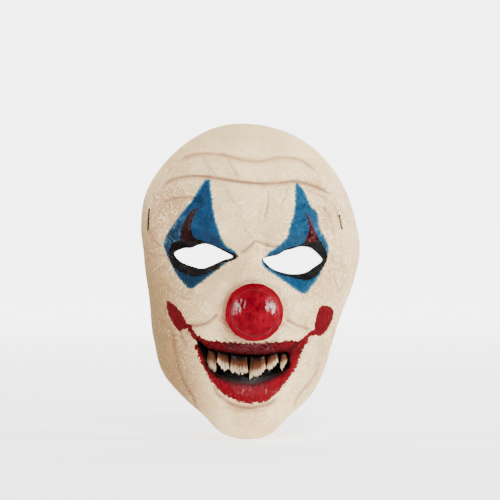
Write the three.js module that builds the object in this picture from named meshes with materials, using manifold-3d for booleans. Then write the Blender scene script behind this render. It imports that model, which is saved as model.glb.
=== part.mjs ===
// A thin latex clown mask that covers the face from the hairline to under the chin, with a
// round nose, a closed grinning mouth, a row of raised teeth and an elastic round the head.
// Millimetres. +Z is up, the mask looks along -Y, and +X is on the right of the one it looks at.
// The origin is on the inner side between the eyes, where the mask sits on its wearer's face.
import * as THREE from 'three';
import { mergeVertices } from 'three/addons/utils/BufferGeometryUtils.js';
import Module from 'manifold-3d';

const wasm = await Module();
wasm.setup();

// Overall sizes
const faceHalfWidth = 80;
const faceHeight = 224;
const wrapDepth = 62;
const foreheadSlope = 34;
const edgeTurn = THREE.MathUtils.degToRad(80);

// Relief of the latex skin
const latexWall = 2;
const bulgeHeight = 8;
const foldHeight = 3;
const foldWidth = 6;
const plainRimShare = 0.1;

// Nose ball
const noseAcross = 0.03;
const noseUp = -0.17;
const noseRadius = 20;
const noseWall = 2;
const neckRadius = 17;
const neckReach = 2;
const noseSeatForward = 14;
const noseSeatEdge = 2.5;
const noseSeatBlend = 13;
const noseClearance = 0.3;

// Mouth and teeth
const mouthDepth = 7;
const mouthInset = 0.3;
const toothThickness = 4.2;
const toothSideShare = 0.45;
const toothValley = 3.5;
const toothTopClearance = 1;
const toothSeatClearance = 0.6;

// Elastic
const strapWidth = 12;
const strapThickness = 1;
const strapUp = 0.116;
const strapClearance = 0.6;
const strapLap = 24;
const strapRimGap = 2;
const headLength = 186;

// Mesh counts and tolerances
const anglesRound = 76;
const ringsOut = 23;
const ringCrowding = 1.1;
const outlineStepCount = 40;
const foldStepCount = 5;
const toothColumnCount = 7;
const ballSideCount = 28;
const ballArcCount = 12;
const strapStepCount = 72;
const meshTolerance = 0.02;
const mergeTolerance = 1e-4;

// Places across are shares of the half width, places up are shares of the height, and
// back is a share of the wrap. The rim runs clockwise from the top of the forehead.
const rim = [
  { across: -0.06, up: 0.427, back: 0.12 },
  { across: 0.335, up: 0.400, back: 0.20 },
  { across: 0.61, up: 0.340, back: 0.38 },
  { across: 0.84, up: 0.241, back: 0.68 },
  { across: 0.975, up: 0.125, back: 0.96 },
  { across: 1.02, up: 0.022, back: 1.0 },
  { across: 0.965, up: -0.076, back: 1.0 },
  { across: 0.85, up: -0.179, back: 0.97 },
  { across: 0.75, up: -0.281, back: 0.87 },
  { across: 0.663, up: -0.375, back: 0.79 },
  { across: 0.545, up: -0.446, back: 0.69 },
  { across: 0.355, up: -0.504, back: 0.50 },
  { across: 0.185, up: -0.560, back: 0.26 },
  { across: -0.025, up: -0.574, back: 0.20 },
  { across: -0.235, up: -0.558, back: 0.28 },
  { across: -0.405, up: -0.502, back: 0.50 },
  { across: -0.60, up: -0.442, back: 0.70 },
  { across: -0.775, up: -0.366, back: 0.80 },
  { across: -0.85, up: -0.268, back: 0.88 },
  { across: -0.894, up: -0.134, back: 0.97 },
  { across: -0.944, up: 0, back: 1.0 },
  { across: -0.97, up: 0.107, back: 0.97 },
  { across: -0.925, up: 0.205, back: 0.80 },
  { across: -0.76, up: 0.299, back: 0.55 },
  { across: -0.51, up: 0.377, back: 0.32 },
  { across: -0.30, up: 0.414, back: 0.18 },
];

// The middle line from the chin to the top edge, as a share of the forehead's slope
const middleLine = [
  { up: -0.60, back: 0.10 },
  { up: -0.513, back: -0.27 },
  { up: -0.446, back: -0.36 },
  { up: -0.357, back: -0.38 },
  { up: -0.268, back: -0.35 },
  { up: -0.179, back: -0.29 },
  { up: -0.089, back: -0.18 },
  { up: 0, back: -0.06 },
  { up: 0.089, back: -0.06 },
  { up: 0.179, back: 0.03 },
  { up: 0.268, back: 0.20 },
  { up: 0.357, back: 0.48 },
  { up: 0.44, back: 0.92 },
];

// Soft bulges and hollows, each with its half spreads, lift as a share of the bulge height
const bulges = [
  { name: 'left eye socket', across: -0.41, up: -0.004, wide: 0.30, tall: 0.054, lift: -0.9 },
  { name: 'right eye socket', across: 0.39, up: -0.013, wide: 0.30, tall: 0.054, lift: -0.9 },
  { name: 'left cheek', across: -0.55, up: -0.147, wide: 0.24, tall: 0.076, lift: 0.9 },
  { name: 'right cheek', across: 0.525, up: -0.156, wide: 0.24, tall: 0.076, lift: 0.9 },
  { name: 'muzzle', across: 0, up: -0.295, wide: 0.42, tall: 0.115, lift: 0.9 },
  { name: 'chin', across: 0.013, up: -0.509, wide: 0.24, tall: 0.049, lift: 0.9 },
  { name: 'left temple', across: -0.775, up: 0.125, wide: 0.15, tall: 0.09, lift: -0.35 },
  { name: 'right temple', across: 0.80, up: 0.116, wide: 0.15, tall: 0.09, lift: -0.35 },
  { name: 'nose root', across: 0, up: 0.009, wide: 0.11, tall: 0.07, lift: 0.5 },
  { name: 'left cheek hollow', across: -0.70, up: -0.295, wide: 0.15, tall: 0.10, lift: -0.3 },
  { name: 'right cheek hollow', across: 0.66, up: -0.286, wide: 0.15, tall: 0.10, lift: -0.3 },
];

// Folds of the skin: each path runs through its [across, up] places, wide is a share of the
// fold width, and lift a share of the fold height: above zero a ridge, below it a furrow
const folds = [
  { name: 'left brow', wide: 1, lift: 1.3,
    path: [[-0.76, 0.03], [-0.65, 0.075], [-0.45, 0.095], [-0.25, 0.07], [-0.11, 0.02]] },
  { name: 'right brow', wide: 1, lift: 1.3,
    path: [[0.11, 0.015], [0.25, 0.06], [0.44, 0.09], [0.63, 0.07], [0.75, 0.02]] },
  { name: 'frown roll', wide: 0.7, lift: 0.8, path: [[-0.14, 0.03], [0, 0.042], [0.14, 0.03]] },
  { name: 'top furrow', wide: 0.6, lift: -0.7,
    path: [[-0.75, 0.277], [-0.56, 0.317], [-0.375, 0.321], [-0.125, 0.313],
      [0.1, 0.306], [0.375, 0.31], [0.56, 0.30], [0.70, 0.268]] },
  { name: 'middle furrow', wide: 0.6, lift: -0.7,
    path: [[-0.775, 0.196], [-0.625, 0.237], [-0.475, 0.25], [-0.31, 0.246], [-0.1, 0.234],
      [0.1, 0.228], [0.31, 0.234], [0.525, 0.228], [0.69, 0.196], [0.775, 0.161]] },
  { name: 'left low furrow', wide: 0.6, lift: -0.6,
    path: [[-0.75, 0.143], [-0.65, 0.179], [-0.525, 0.188], [-0.375, 0.17]] },
  { name: 'right low furrow', wide: 0.6, lift: -0.6,
    path: [[0.39, 0.161], [0.51, 0.165], [0.65, 0.147], [0.75, 0.116]] },
  { name: 'left smile fold', wide: 0.7, lift: -1,
    path: [[-0.33, -0.17], [-0.42, -0.205], [-0.535, -0.241], [-0.585, -0.295]] },
  { name: 'right smile fold', wide: 0.7, lift: -1,
    path: [[0.38, -0.17], [0.46, -0.205], [0.52, -0.241], [0.55, -0.295]] },
  { name: 'left cheek fold', wide: 0.7, lift: -0.8,
    path: [[-0.69, -0.223], [-0.70, -0.313], [-0.625, -0.393], [-0.525, -0.464]] },
  { name: 'right cheek fold', wide: 0.7, lift: -0.8,
    path: [[0.64, -0.223], [0.625, -0.304], [0.55, -0.384], [0.45, -0.455]] },
  { name: 'chin crease', wide: 0.7, lift: -1,
    path: [[-0.30, -0.451], [-0.10, -0.471], [0.10, -0.471], [0.275, -0.446]] },
  { name: 'left pouch', wide: 0.8, lift: 0.7,
    path: [[-0.625, -0.054], [-0.425, -0.076], [-0.225, -0.058]] },
  { name: 'right pouch', wide: 0.8, lift: 0.7,
    path: [[0.20, -0.076], [0.40, -0.089], [0.60, -0.067]] },
  { name: 'left pouch crease', wide: 0.6, lift: -0.7,
    path: [[-0.65, -0.089], [-0.425, -0.116], [-0.28, -0.10]] },
  { name: 'right pouch crease', wide: 0.6, lift: -0.7,
    path: [[0.30, -0.115], [0.40, -0.129], [0.625, -0.098]] },
  { name: 'lower lip', wide: 1, lift: 1.4,
    path: [[-0.463, -0.286], [-0.413, -0.344], [-0.313, -0.393], [-0.175, -0.42],
      [-0.025, -0.429], [0.125, -0.42], [0.25, -0.391], [0.356, -0.344], [0.419, -0.29]] },
  { name: 'upper lip', wide: 0.6, lift: 0.8,
    path: [[-0.45, -0.263], [-0.225, -0.275], [-0.038, -0.283], [0.175, -0.278], [0.425, -0.27]] },
  { name: 'left horn', wide: 0.6, lift: 0.8,
    path: [[-0.45, 0.156], [-0.51, 0.125], [-0.55, 0.089], [-0.57, 0.054]] },
  { name: 'right horn', wide: 0.6, lift: 0.8,
    path: [[0.475, 0.138], [0.525, 0.107], [0.563, 0.076], [0.588, 0.054]] },
];

// Outlines of the openings, [across, up] clockwise from the left corner
const leftEye = [
  [-0.664, 0.011], [-0.58, 0.027], [-0.516, 0.028], [-0.445, 0.038], [-0.39, 0.041],
  [-0.324, 0.035], [-0.235, 0.019], [-0.15, 0.001], [-0.235, -0.010], [-0.346, -0.028],
  [-0.413, -0.036], [-0.48, -0.032], [-0.60, -0.016],
];
const rightEye = [
  [0.12, -0.005], [0.241, 0.006], [0.308, 0.019], [0.375, 0.025], [0.441, 0.032],
  [0.486, 0.032], [0.544, 0.027], [0.615, 0.006], [0.643, -0.012], [0.57, -0.032],
  [0.509, -0.046], [0.441, -0.053], [0.351, -0.053], [0.263, -0.046], [0.196, -0.036],
  [0.151, -0.023],
];
const mouthUpperEdge = [
  [-0.456, -0.260], [-0.363, -0.282], [-0.155, -0.296], [0.075, -0.300], [0.29, -0.293],
  [0.343, -0.301],
];
const mouthLowerEdge = [
  [0.348, -0.325], [0.334, -0.346], [0.261, -0.366], [0.106, -0.389], [-0.013, -0.395],
  [-0.209, -0.384], [-0.311, -0.366], [-0.385, -0.335], [-0.40, -0.295],
];
const mouthOpening = [...mouthUpperEdge, ...mouthLowerEdge];
const mouthMiddle = [-0.03, -0.335];

// Teeth from left to right: both sides across, and how far down each side of the tip comes
const teeth = [
  { name: 'left fang', left: -0.375, right: -0.297, downLeft: -0.346, downRight: -0.360 },
  { name: 'left side tooth', left: -0.290, right: -0.184, downLeft: -0.336, downRight: -0.356 },
  { name: 'left front tooth', left: -0.177, right: -0.028, downLeft: -0.354, downRight: -0.365 },
  { name: 'right front tooth', left: 0.002, right: 0.133, downLeft: -0.375, downRight: -0.357 },
  { name: 'right side tooth', left: 0.141, right: 0.241, downLeft: -0.356, downRight: -0.333 },
  { name: 'right fang', left: 0.262, right: 0.326, downLeft: -0.356, downRight: -0.330 },
];

// A tooth's section from its top at the back, round its tip, to its top at the front: how far
// down each place is, and how far forward as a share of the thickness
const toothSection = [
  { down: 0, forward: 0 },
  { down: 0.35, forward: 0 },
  { down: 0.7, forward: 0 },
  { down: 0.97, forward: 0 },
  { down: 1, forward: 0.3 },
  { down: 0.6, forward: 1 },
  { down: 0.12, forward: 0.9 },
  { down: 0, forward: 0.5 },
];

// The elastic seen from above behind the rim, as shares of the half width and head length
const strapRoute = [
  { across: 0.915, back: 0.42 },
  { across: 0.92, back: 0.55 },
  { across: 0.865, back: 0.72 },
  { across: 0.69, back: 0.88 },
  { across: 0.38, back: 0.975 },
];

const { clamp, lerp, smoothstep } = THREE.MathUtils;
const noseX = noseAcross * faceHalfWidth;
const noseZ = noseUp * faceHeight;
const holeRadius = neckRadius + noseClearance;

function place([across, up]) {
  return new THREE.Vector2(across * faceHalfWidth, up * faceHeight);
}

// A cubic through every row, whose slope at a row is that between its two neighbours
function smoothTable(rows, key, value) {
  const knots = rows.map((row) => row[key]);
  const heights = rows.map((row) => row[value]);
  const last = rows.length - 1;
  const slopes = knots.map((knot, i) => {
    const before = Math.max(i - 1, 0);
    const after = Math.min(i + 1, last);
    return (heights[after] - heights[before]) / (knots[after] - knots[before]);
  });
  return (at) => {
    let i = 0;
    while (i < last - 1 && at > knots[i + 1]) i += 1;
    const span = knots[i + 1] - knots[i];
    const u = clamp((at - knots[i]) / span, 0, 1);
    const v = 1 - u;
    const start = heights[i] + slopes[i] * span * u;
    const end = heights[i + 1] - slopes[i + 1] * span * v;
    return start * v * v * (1 + 2 * u) - 2 * slopes[i] * span * u * u * v * v
      + end * u * u * (1 + 2 * v) + 2 * slopes[i + 1] * span * v * v * u * u;
  };
}

// The rim seen from the nose: how far it is and how far back it lies, by direction
function rimByAngle() {
  const turns = rim.map((row) => {
    const x = row.across * faceHalfWidth - noseX;
    const z = row.up * faceHeight - noseZ;
    return { angle: Math.atan2(z, x), reach: Math.hypot(x, z), back: row.back * wrapDepth };
  });
  turns.sort((a, b) => a.angle - b.angle);
  const round = [-2 * Math.PI, 0, 2 * Math.PI].flatMap((turn) => (
    turns.map((row) => ({ ...row, angle: row.angle + turn }))
  ));
  return {
    reach: smoothTable(round, 'angle', 'reach'),
    back: smoothTable(round, 'angle', 'back'),
  };
}

const rimAt = rimByAngle();
const middleAt = smoothTable(middleLine, 'up', 'back');

// A bell round each bulge's middle
function bulgeLift(x, z) {
  return bulges.reduce((sum, bulge) => {
    const u = (x / faceHalfWidth - bulge.across) / bulge.wide;
    const v = (z / faceHeight - bulge.up) / bulge.tall;
    return sum + bulge.lift * bulgeHeight * Math.exp(-u * u - v * v);
  }, 0);
}

const foldCurves = folds.map((fold) => {
  const curve = new THREE.SplineCurve(fold.path.map(place));
  return { ...fold, points: curve.getPoints(foldStepCount * (fold.path.length - 1)) };
});

// A bell across each fold's path, which dies out over the last part of its length
function foldLift(x, z) {
  const fadeStart = -0.02;
  const fadeEnd = 0.25;
  return foldCurves.reduce((sum, fold) => {
    const last = fold.points.length - 1;
    let nearest = Infinity;
    let along = 0;
    for (let i = 0; i < last; i += 1) {
      const a = fold.points[i];
      const b = fold.points[i + 1];
      const dx = b.x - a.x;
      const dz = b.y - a.y;
      const t = clamp(((x - a.x) * dx + (z - a.y) * dz) / (dx * dx + dz * dz), 0, 1);
      const gap = Math.hypot(x - a.x - t * dx, z - a.y - t * dz);
      if (gap < nearest) {
        nearest = gap;
        along = (i + t) / last;
      }
    }
    const fade = smoothstep(Math.min(along, 1 - along), fadeStart, fadeEnd);
    const width = fold.wide * foldWidth;
    return sum + fold.lift * foldHeight * fade * Math.exp(-((nearest / width) ** 2));
  }, 0);
}

// Depth of the skin without folds: the middle line, an elliptic wrap towards the rim, and
// the bulges, which leave a plain margin along the rim. It is known to just past the rim.
function softDepth(x, z) {
  const lastShare = 1.01;
  const dx = x - noseX;
  const dz = z - noseZ;
  const angle = Math.atan2(dz, dx);
  const share = Math.min(Math.hypot(dx, dz) / rimAt.reach(angle), lastShare);
  const turn = Math.asin(share * Math.sin(edgeTurn));
  const wrap = (1 - Math.cos(turn)) / (1 - Math.cos(edgeTurn));
  const inside = smoothstep(1 - share, 0, plainRimShare);
  return foreheadSlope * middleAt(z / faceHeight) + rimAt.back(angle) * wrap
    - inside * bulgeLift(x, z);
}

function rawDepth(x, z) {
  const angle = Math.atan2(z - noseZ, x - noseX);
  const radius = Math.hypot(x - noseX, z - noseZ);
  const inside = smoothstep(1 - radius / rimAt.reach(angle), 0, plainRimShare);
  const skin = softDepth(x, z) - inside * foldLift(x, z);
  const seatEdge = noseRadius + noseSeatEdge;
  return lerp(-noseSeatForward, skin, smoothstep(radius, seatEdge, seatEdge + noseSeatBlend));
}

// Everything is moved back or forward so that the inner side at the origin is at zero
const seatShift = -latexWall - rawDepth(0, 0);
const depth = (x, z) => rawDepth(x, z) + seatShift;
const noseSeat = seatShift - noseSeatForward;

// The way in, square to the skin, from the skin's slopes across and up
function inward(x, z) {
  const apart = 0.4;
  const slopeX = (depth(x + apart, z) - depth(x - apart, z)) / (2 * apart);
  const slopeZ = (depth(x, z + apart) - depth(x, z - apart)) / (2 * apart);
  return new THREE.Vector3(-slopeX, 1, -slopeZ).normalize();
}

// A closed body from rings of points: quads between neighbours, either closed along both
// ways or capped by a fan at its first and last ring
function ringBody(rings, closedAlong) {
  const count = rings[0].length;
  const points = rings.flat();
  const index = [];
  const pairs = closedAlong ? rings.length : rings.length - 1;
  for (let i = 0; i < pairs; i += 1) {
    const here = i * count;
    const next = ((i + 1) % rings.length) * count;
    for (let j = 0; j < count; j += 1) {
      const k = (j + 1) % count;
      index.push(here + j, next + j, here + k, here + k, next + j, next + k);
    }
  }
  if (!closedAlong) {
    const end = (rings.length - 1) * count;
    for (let j = 1; j < count - 1; j += 1) {
      index.push(0, j, j + 1, end, end + j + 1, end + j);
    }
  }
  return closedBody(points, index);
}

// The geometry of the points and triangles, turned so that its faces look outwards
function closedBody(points, index) {
  let volume = 0;
  for (let i = 0; i < index.length; i += 3) {
    const [a, b, c] = [points[index[i]], points[index[i + 1]], points[index[i + 2]]];
    volume += a.dot(new THREE.Vector3().crossVectors(b, c));
  }
  const outward = volume > 0 ? index : index.slice().reverse();
  const geometry = new THREE.BufferGeometry().setFromPoints(points);
  geometry.setIndex(outward);
  geometry.computeVertexNormals();
  return geometry;
}

function toSolid(geometry) {
  const bare = geometry.clone();
  bare.deleteAttribute('normal');
  bare.deleteAttribute('uv');
  const merged = mergeVertices(bare, mergeTolerance);
  return new wasm.Manifold(new wasm.Mesh({
    numProp: 3,
    vertProperties: merged.getAttribute('position').array,
    triVerts: Uint32Array.from(merged.index.array),
  }));
}

function toGeometry(solid) {
  const mesh = solid.getMesh();
  const geometry = new THREE.BufferGeometry();
  geometry.setAttribute('position', new THREE.BufferAttribute(mesh.vertProperties, 3));
  geometry.setIndex(new THREE.BufferAttribute(mesh.triVerts, 1));
  geometry.computeVertexNormals();
  return geometry;
}

// A round closed curve through the places of an outline
function outlinePoints(outline, steps) {
  const corners = outline.map(place).map((p) => new THREE.Vector3(p.x, p.y, 0));
  return new THREE.CatmullRomCurve3(corners, true, 'centripetal').getSpacedPoints(steps)
    .slice(0, steps)
    .map((p) => new THREE.Vector2(p.x, p.y));
}

// The outline moved square to itself, inwards for a positive distance on a clockwise outline
function shifted(outline, distance) {
  const count = outline.length;
  return outline.map((p, i) => {
    const before = outline[(i + count - 1) % count];
    const after = outline[(i + 1) % count];
    const along = after.clone().sub(before).normalize();
    return new THREE.Vector2(p.x + distance * along.y, p.y - distance * along.x);
  });
}

// A straight cutter that passes through the skin from front to back
function throughCutter(points) {
  const reach = 80;
  const cutter = new THREE.ExtrudeGeometry(new THREE.Shape(points), {
    depth: 2 * reach, bevelEnabled: false, steps: 1,
  });
  cutter.rotateX(Math.PI / 2);
  cutter.translate(0, reach, 0);
  return cutter;
}

// The skin wall: each section runs from the nose hole out to the rim and back inside
function skinWall() {
  const sections = [];
  for (let i = 0; i < anglesRound; i += 1) {
    const angle = (2 * Math.PI * i) / anglesRound;
    const reach = rimAt.reach(angle);
    const firstTurn = Math.asin((holeRadius / reach) * Math.sin(edgeTurn));
    const outer = [];
    const inner = [];
    for (let j = 0; j <= ringsOut; j += 1) {
      const turn = lerp(firstTurn, edgeTurn, (j / ringsOut) ** ringCrowding);
      const radius = (reach * Math.sin(turn)) / Math.sin(edgeTurn);
      const x = noseX + radius * Math.cos(angle);
      const z = noseZ + radius * Math.sin(angle);
      const point = new THREE.Vector3(x, depth(x, z), z);
      outer.push(point);
      const straightBack = new THREE.Vector3(0, 1, 0);
      const way = j === 0 ? straightBack : inward(x, z);
      inner.unshift(point.clone().addScaledVector(way, latexWall));
    }
    sections.push([...outer, ...inner]);
  }
  return ringBody(sections, true);
}

const mouthFloor = (x, z) => softDepth(x, z) + seatShift + mouthDepth;

// The closed mouth: a floor behind the lips and a wall round it that joins the lips
function mouthPan(outline) {
  const middle = place(mouthMiddle);
  const inset = shifted(outline, mouthInset);
  const outset = shifted(outline, -latexWall);
  const ringShares = [0.03, 0.28, 0.52, 0.76, 1];
  const across = (points, share, lift) => points.map((p) => {
    const q = middle.clone().lerp(p, share);
    return new THREE.Vector3(q.x, lift(q.x, q.y), q.y);
  });
  const lipMiddle = (x, z) => depth(x, z) + latexWall / 2;
  const floorBack = (x, z) => mouthFloor(x, z) + latexWall;
  const rings = [
    ...ringShares.map((share) => across(inset, share, mouthFloor)),
    across(inset, 1, lipMiddle),
    across(outset, 1, lipMiddle),
    ...ringShares.slice().reverse().map((share) => across(outset, share, floorBack)),
  ];
  return ringBody(rings, false);
}

function faceShell() {
  const mouth = outlinePoints(mouthOpening, outlineStepCount);
  const eyeCuts = [leftEye, rightEye].map((eye) => outlinePoints(eye, outlineStepCount));
  let solid = toSolid(skinWall());
  [mouth, ...eyeCuts].forEach((points) => {
    solid = solid.subtract(toSolid(throughCutter(points)));
  });
  return toGeometry(solid.add(toSolid(mouthPan(mouth))).simplify(meshTolerance));
}

// A hollow ball that is open at the back, where its neck passes through the nose hole
function noseBall() {
  const middle = Math.sqrt(noseRadius ** 2 - neckRadius ** 2) + noseClearance;
  const back = -(latexWall + neckReach);
  const arc = (radius, mouth) => {
    const end = Math.asin(mouth / radius);
    return Array.from({ length: ballArcCount + 1 }, (unused, i) => {
      const turn = ((Math.PI - end) * i) / ballArcCount;
      return new THREE.Vector2(radius * Math.sin(turn), middle + radius * Math.cos(turn));
    });
  };
  const outer = arc(noseRadius, neckRadius);
  const inner = arc(noseRadius - noseWall, neckRadius - noseWall);
  outer[0].x = 0;
  inner[0].x = 0;
  const profile = [
    ...inner,
    new THREE.Vector2(neckRadius - noseWall, back),
    new THREE.Vector2(neckRadius, back),
    ...outer.reverse(),
  ];
  const ball = new THREE.LatheGeometry(profile, ballSideCount);
  ball.rotateX(Math.PI);
  ball.translate(noseX, noseSeat, noseZ);
  return mergedBody(ball);
}

// Lathe faces as a closed body with merged corners, turned outwards
function mergedBody(geometry) {
  const bare = geometry.clone();
  bare.deleteAttribute('normal');
  bare.deleteAttribute('uv');
  const merged = mergeVertices(bare, mergeTolerance);
  const position = merged.getAttribute('position');
  const points = Array.from({ length: position.count }, (unused, i) => (
    new THREE.Vector3().fromBufferAttribute(position, i)
  ));
  const index = Array.from(merged.index.array).reduce((kept, unused, i, all) => {
    if (i % 3 === 0) {
      const [a, b, c] = all.slice(i, i + 3);
      if (a !== b && b !== c && c !== a) kept.push(a, b, c);
    }
    return kept;
  }, []);
  return closedBody(points, index);
}

// The upper edge of the mouth opening at a place across
const mouthTop = smoothTable(mouthUpperEdge.map(place), 'x', 'y');

// The teeth as one body along the upper lip, with a section at each column of each tooth
function toothRow() {
  const sections = [];
  teeth.forEach((tooth) => {
    for (let i = 0; i < toothColumnCount; i += 1) {
      const u = i / (toothColumnCount - 1);
      const side = Math.abs(2 * u - 1);
      const x = lerp(tooth.left, tooth.right, u) * faceHalfWidth;
      const top = mouthTop(x) - toothTopClearance;
      const tip = lerp(tooth.downLeft, tooth.downRight, u) * faceHeight
        + toothValley * side ** 4;
      const thickness = toothThickness * lerp(toothSideShare, 1, Math.sqrt(1 - side ** 4));
      sections.push(toothSection.map(({ down, forward }) => {
        const z = lerp(top, tip, down);
        const y = mouthFloor(x, z) - toothSeatClearance - forward * thickness;
        return new THREE.Vector3(x, y, z);
      }));
    }
  });
  return ringBody(sections, false);
}

// How far out the inner side of the wall is on one side, at a height and a depth
function wallAcross(side, back, height) {
  const halvings = 24;
  const nearShare = 0.6;
  let near = side * nearShare * faceHalfWidth;
  let far = side * faceHalfWidth;
  const innerAt = (x) => (
    new THREE.Vector3(x, depth(x, height), height).addScaledVector(inward(x, height), latexWall)
  );
  for (let i = 0; i < halvings; i += 1) {
    const middle = (near + far) / 2;
    if (innerAt(middle).y < back) near = middle;
    else far = middle;
  }
  return Math.abs(innerAt(near).x);
}

// The elastic: a flat band on edge that starts inside one side of the mask, lies along its
// wall to the rim, and goes round the back of the head to the other side
function elasticStrap() {
  const z = strapUp * faceHeight;
  const halfBand = strapWidth / 2;
  const lapShares = [1, 0.75, 0.5, 0.25];
  const heights = [-1, -0.5, 0, 0.5, 1].map((share) => z + share * halfBand);
  const wallSide = (side) => {
    const angle = Math.atan2(z - noseZ, side * faceHalfWidth - noseX);
    const rimBack = seatShift + rimAt.back(angle) + foreheadSlope * middleAt(strapUp);
    return lapShares.map((share) => {
      const back = rimBack - share * strapLap - strapRimGap;
      const inmost = Math.min(...heights.map((height) => wallAcross(side, back, height)));
      return new THREE.Vector3(side * (inmost - strapClearance - strapThickness / 2), back, 0);
    });
  };
  const behind = strapRoute.map((row) => (
    new THREE.Vector3(row.across * faceHalfWidth, row.back * headLength, 0)
  ));
  const route = [
    ...wallSide(-1),
    ...behind.map((p) => new THREE.Vector3(-p.x, p.y, 0)),
    new THREE.Vector3(0, headLength, 0),
    ...behind.slice().reverse(),
    ...wallSide(1).reverse(),
  ];
  const points = new THREE.CatmullRomCurve3(route, false, 'centripetal')
    .getPoints(strapStepCount);
  const sides = points.map((p, i) => {
    const before = points[Math.max(i - 1, 0)];
    const after = points[Math.min(i + 1, points.length - 1)];
    const along = after.clone().sub(before).normalize();
    const side = new THREE.Vector2(along.y, -along.x).multiplyScalar(strapThickness / 2);
    return [new THREE.Vector2(p.x, p.y).add(side), new THREE.Vector2(p.x, p.y).sub(side)];
  });
  const outline = [...sides.map((pair) => pair[0]), ...sides.map((pair) => pair[1]).reverse()];
  const band = new THREE.ExtrudeGeometry(new THREE.Shape(outline), {
    depth: strapWidth, bevelEnabled: false, steps: 1,
  });
  band.translate(0, 0, z - halfBand);
  return band;
}

function piece(name, geometry, colour, roughness) {
  const material = new THREE.MeshStandardMaterial({ color: colour, roughness, metalness: 0 });
  const mesh = new THREE.Mesh(geometry, material);
  mesh.name = name;
  return mesh;
}

const mask = new THREE.Group();
mask.name = 'clown_mask';
mask.add(piece('face_shell', faceShell(), '#e2cdb8', 0.6));
mask.add(piece('nose', noseBall(), '#ab1823', 0.35));
mask.add(piece('tooth_row', toothRow(), '#cab9aa', 0.4));
mask.add(piece('elastic_strap', elasticStrap(), '#17171a', 0.85));

export default mask;
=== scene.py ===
# %% [markdown]
# # A painted latex clown mask
# The mask is one thin skin of cast latex, painted by hand and airbrush, with a ball for a
# nose, raised teeth behind the lips and an elastic round the head. The imported model gives
# every piece its real place and size. This file gives each piece its fine surface and
# its paint. It starts by loading that model.

# %% Load the frame
import math

import bpy
import numpy as np
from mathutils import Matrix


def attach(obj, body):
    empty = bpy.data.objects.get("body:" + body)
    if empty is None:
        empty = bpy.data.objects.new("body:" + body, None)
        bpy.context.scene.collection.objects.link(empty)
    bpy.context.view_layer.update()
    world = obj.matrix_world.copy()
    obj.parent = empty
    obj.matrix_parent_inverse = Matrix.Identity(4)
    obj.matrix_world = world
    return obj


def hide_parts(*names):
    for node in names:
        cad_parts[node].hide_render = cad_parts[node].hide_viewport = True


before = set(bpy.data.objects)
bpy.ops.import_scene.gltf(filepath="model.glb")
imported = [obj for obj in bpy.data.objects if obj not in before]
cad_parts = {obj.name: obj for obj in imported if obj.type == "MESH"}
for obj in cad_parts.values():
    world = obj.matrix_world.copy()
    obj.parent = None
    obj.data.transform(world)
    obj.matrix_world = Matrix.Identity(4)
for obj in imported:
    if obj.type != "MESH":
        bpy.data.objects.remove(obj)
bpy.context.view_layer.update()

# %% [markdown]
# ## The camera comes first
# The paint is easiest to place as the photograph shows it, so the camera is settled before
# anything else. The eye holes lie 64 mm apart, which makes a pixel 0.70 mm at the eyes. The
# camera stands straight in front, a hair to the left, at a portrait's distance. A helper
# then sends pixels of the 500 by 500 photograph along their sight lines.

# %% Camera and sight lines
MM = 0.001
PHOTO_SIDE = 500
MM_A_PIXEL = 0.70
CAMERA_FAR = 1550.0
CAMERA_TURN = math.radians(-1.5)
AIM = np.array([0.0, 0.0, 4.9])

look = np.array([-math.sin(CAMERA_TURN), math.cos(CAMERA_TURN), 0.0])
aside = np.array([math.cos(CAMERA_TURN), math.sin(CAMERA_TURN), 0.0])
eye_point = AIM - CAMERA_FAR * look

camera_data = bpy.data.cameras.new("camera")
camera_data.sensor_width = 36.0
camera_data.lens = camera_data.sensor_width * CAMERA_FAR / (MM_A_PIXEL * PHOTO_SIDE)
camera = bpy.data.objects.new("camera", camera_data)
camera.location = eye_point * MM
camera.rotation_euler = (math.pi / 2, 0.0, CAMERA_TURN)
bpy.context.scene.collection.objects.link(camera)
bpy.context.scene.camera = camera


def sight_lines(pixels):
    """Directions of unit depth from the camera through each pixel: the look direction,
    plus the pixel's offset from the middle times the size of a pixel at unit depth."""
    offset = (np.asarray(pixels, float) - PHOTO_SIDE / 2) * MM_A_PIXEL / CAMERA_FAR
    return look + offset[:, :1] * aside - offset[:, 1:] * np.array([0.0, 0.0, 1.0])


print("lens", round(camera_data.lens, 1), "mm")

# %% [markdown]
# ## The form of the skin as a function
# A face could be sculpted, but a function can be checked and changed by its numbers. Seen
# from the front each point of the skin has one depth, so the form is a depth over the plane
# of across and up: the profile of the middle line, an elliptic wrap that grows towards the
# rim, and then bulges and folds. The tables hold shares of the face's half width and height,
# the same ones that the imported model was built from.

# %% Sizes and the rim
FACE_HALF_WIDTH = 80.0
FACE_HEIGHT = 224.0
WRAP_DEPTH = 62.0
FOREHEAD_SLOPE = 34.0
EDGE_TURN = math.radians(80)
LATEX_WALL = 2.0
BULGE_HEIGHT = 8.0
FOLD_HEIGHT = 3.0
FOLD_WIDTH = 6.0
PLAIN_RIM_SHARE = 0.1
NOSE_X = 0.03 * FACE_HALF_WIDTH
NOSE_Z = -0.17 * FACE_HEIGHT
NOSE_RADIUS = 20.0
NECK_RADIUS = 17.0
NOSE_CLEARANCE = 0.3
NOSE_SEAT_FORWARD = 14.0
NOSE_SEAT_EDGE = 2.5
NOSE_SEAT_BLEND = 13.0

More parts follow.
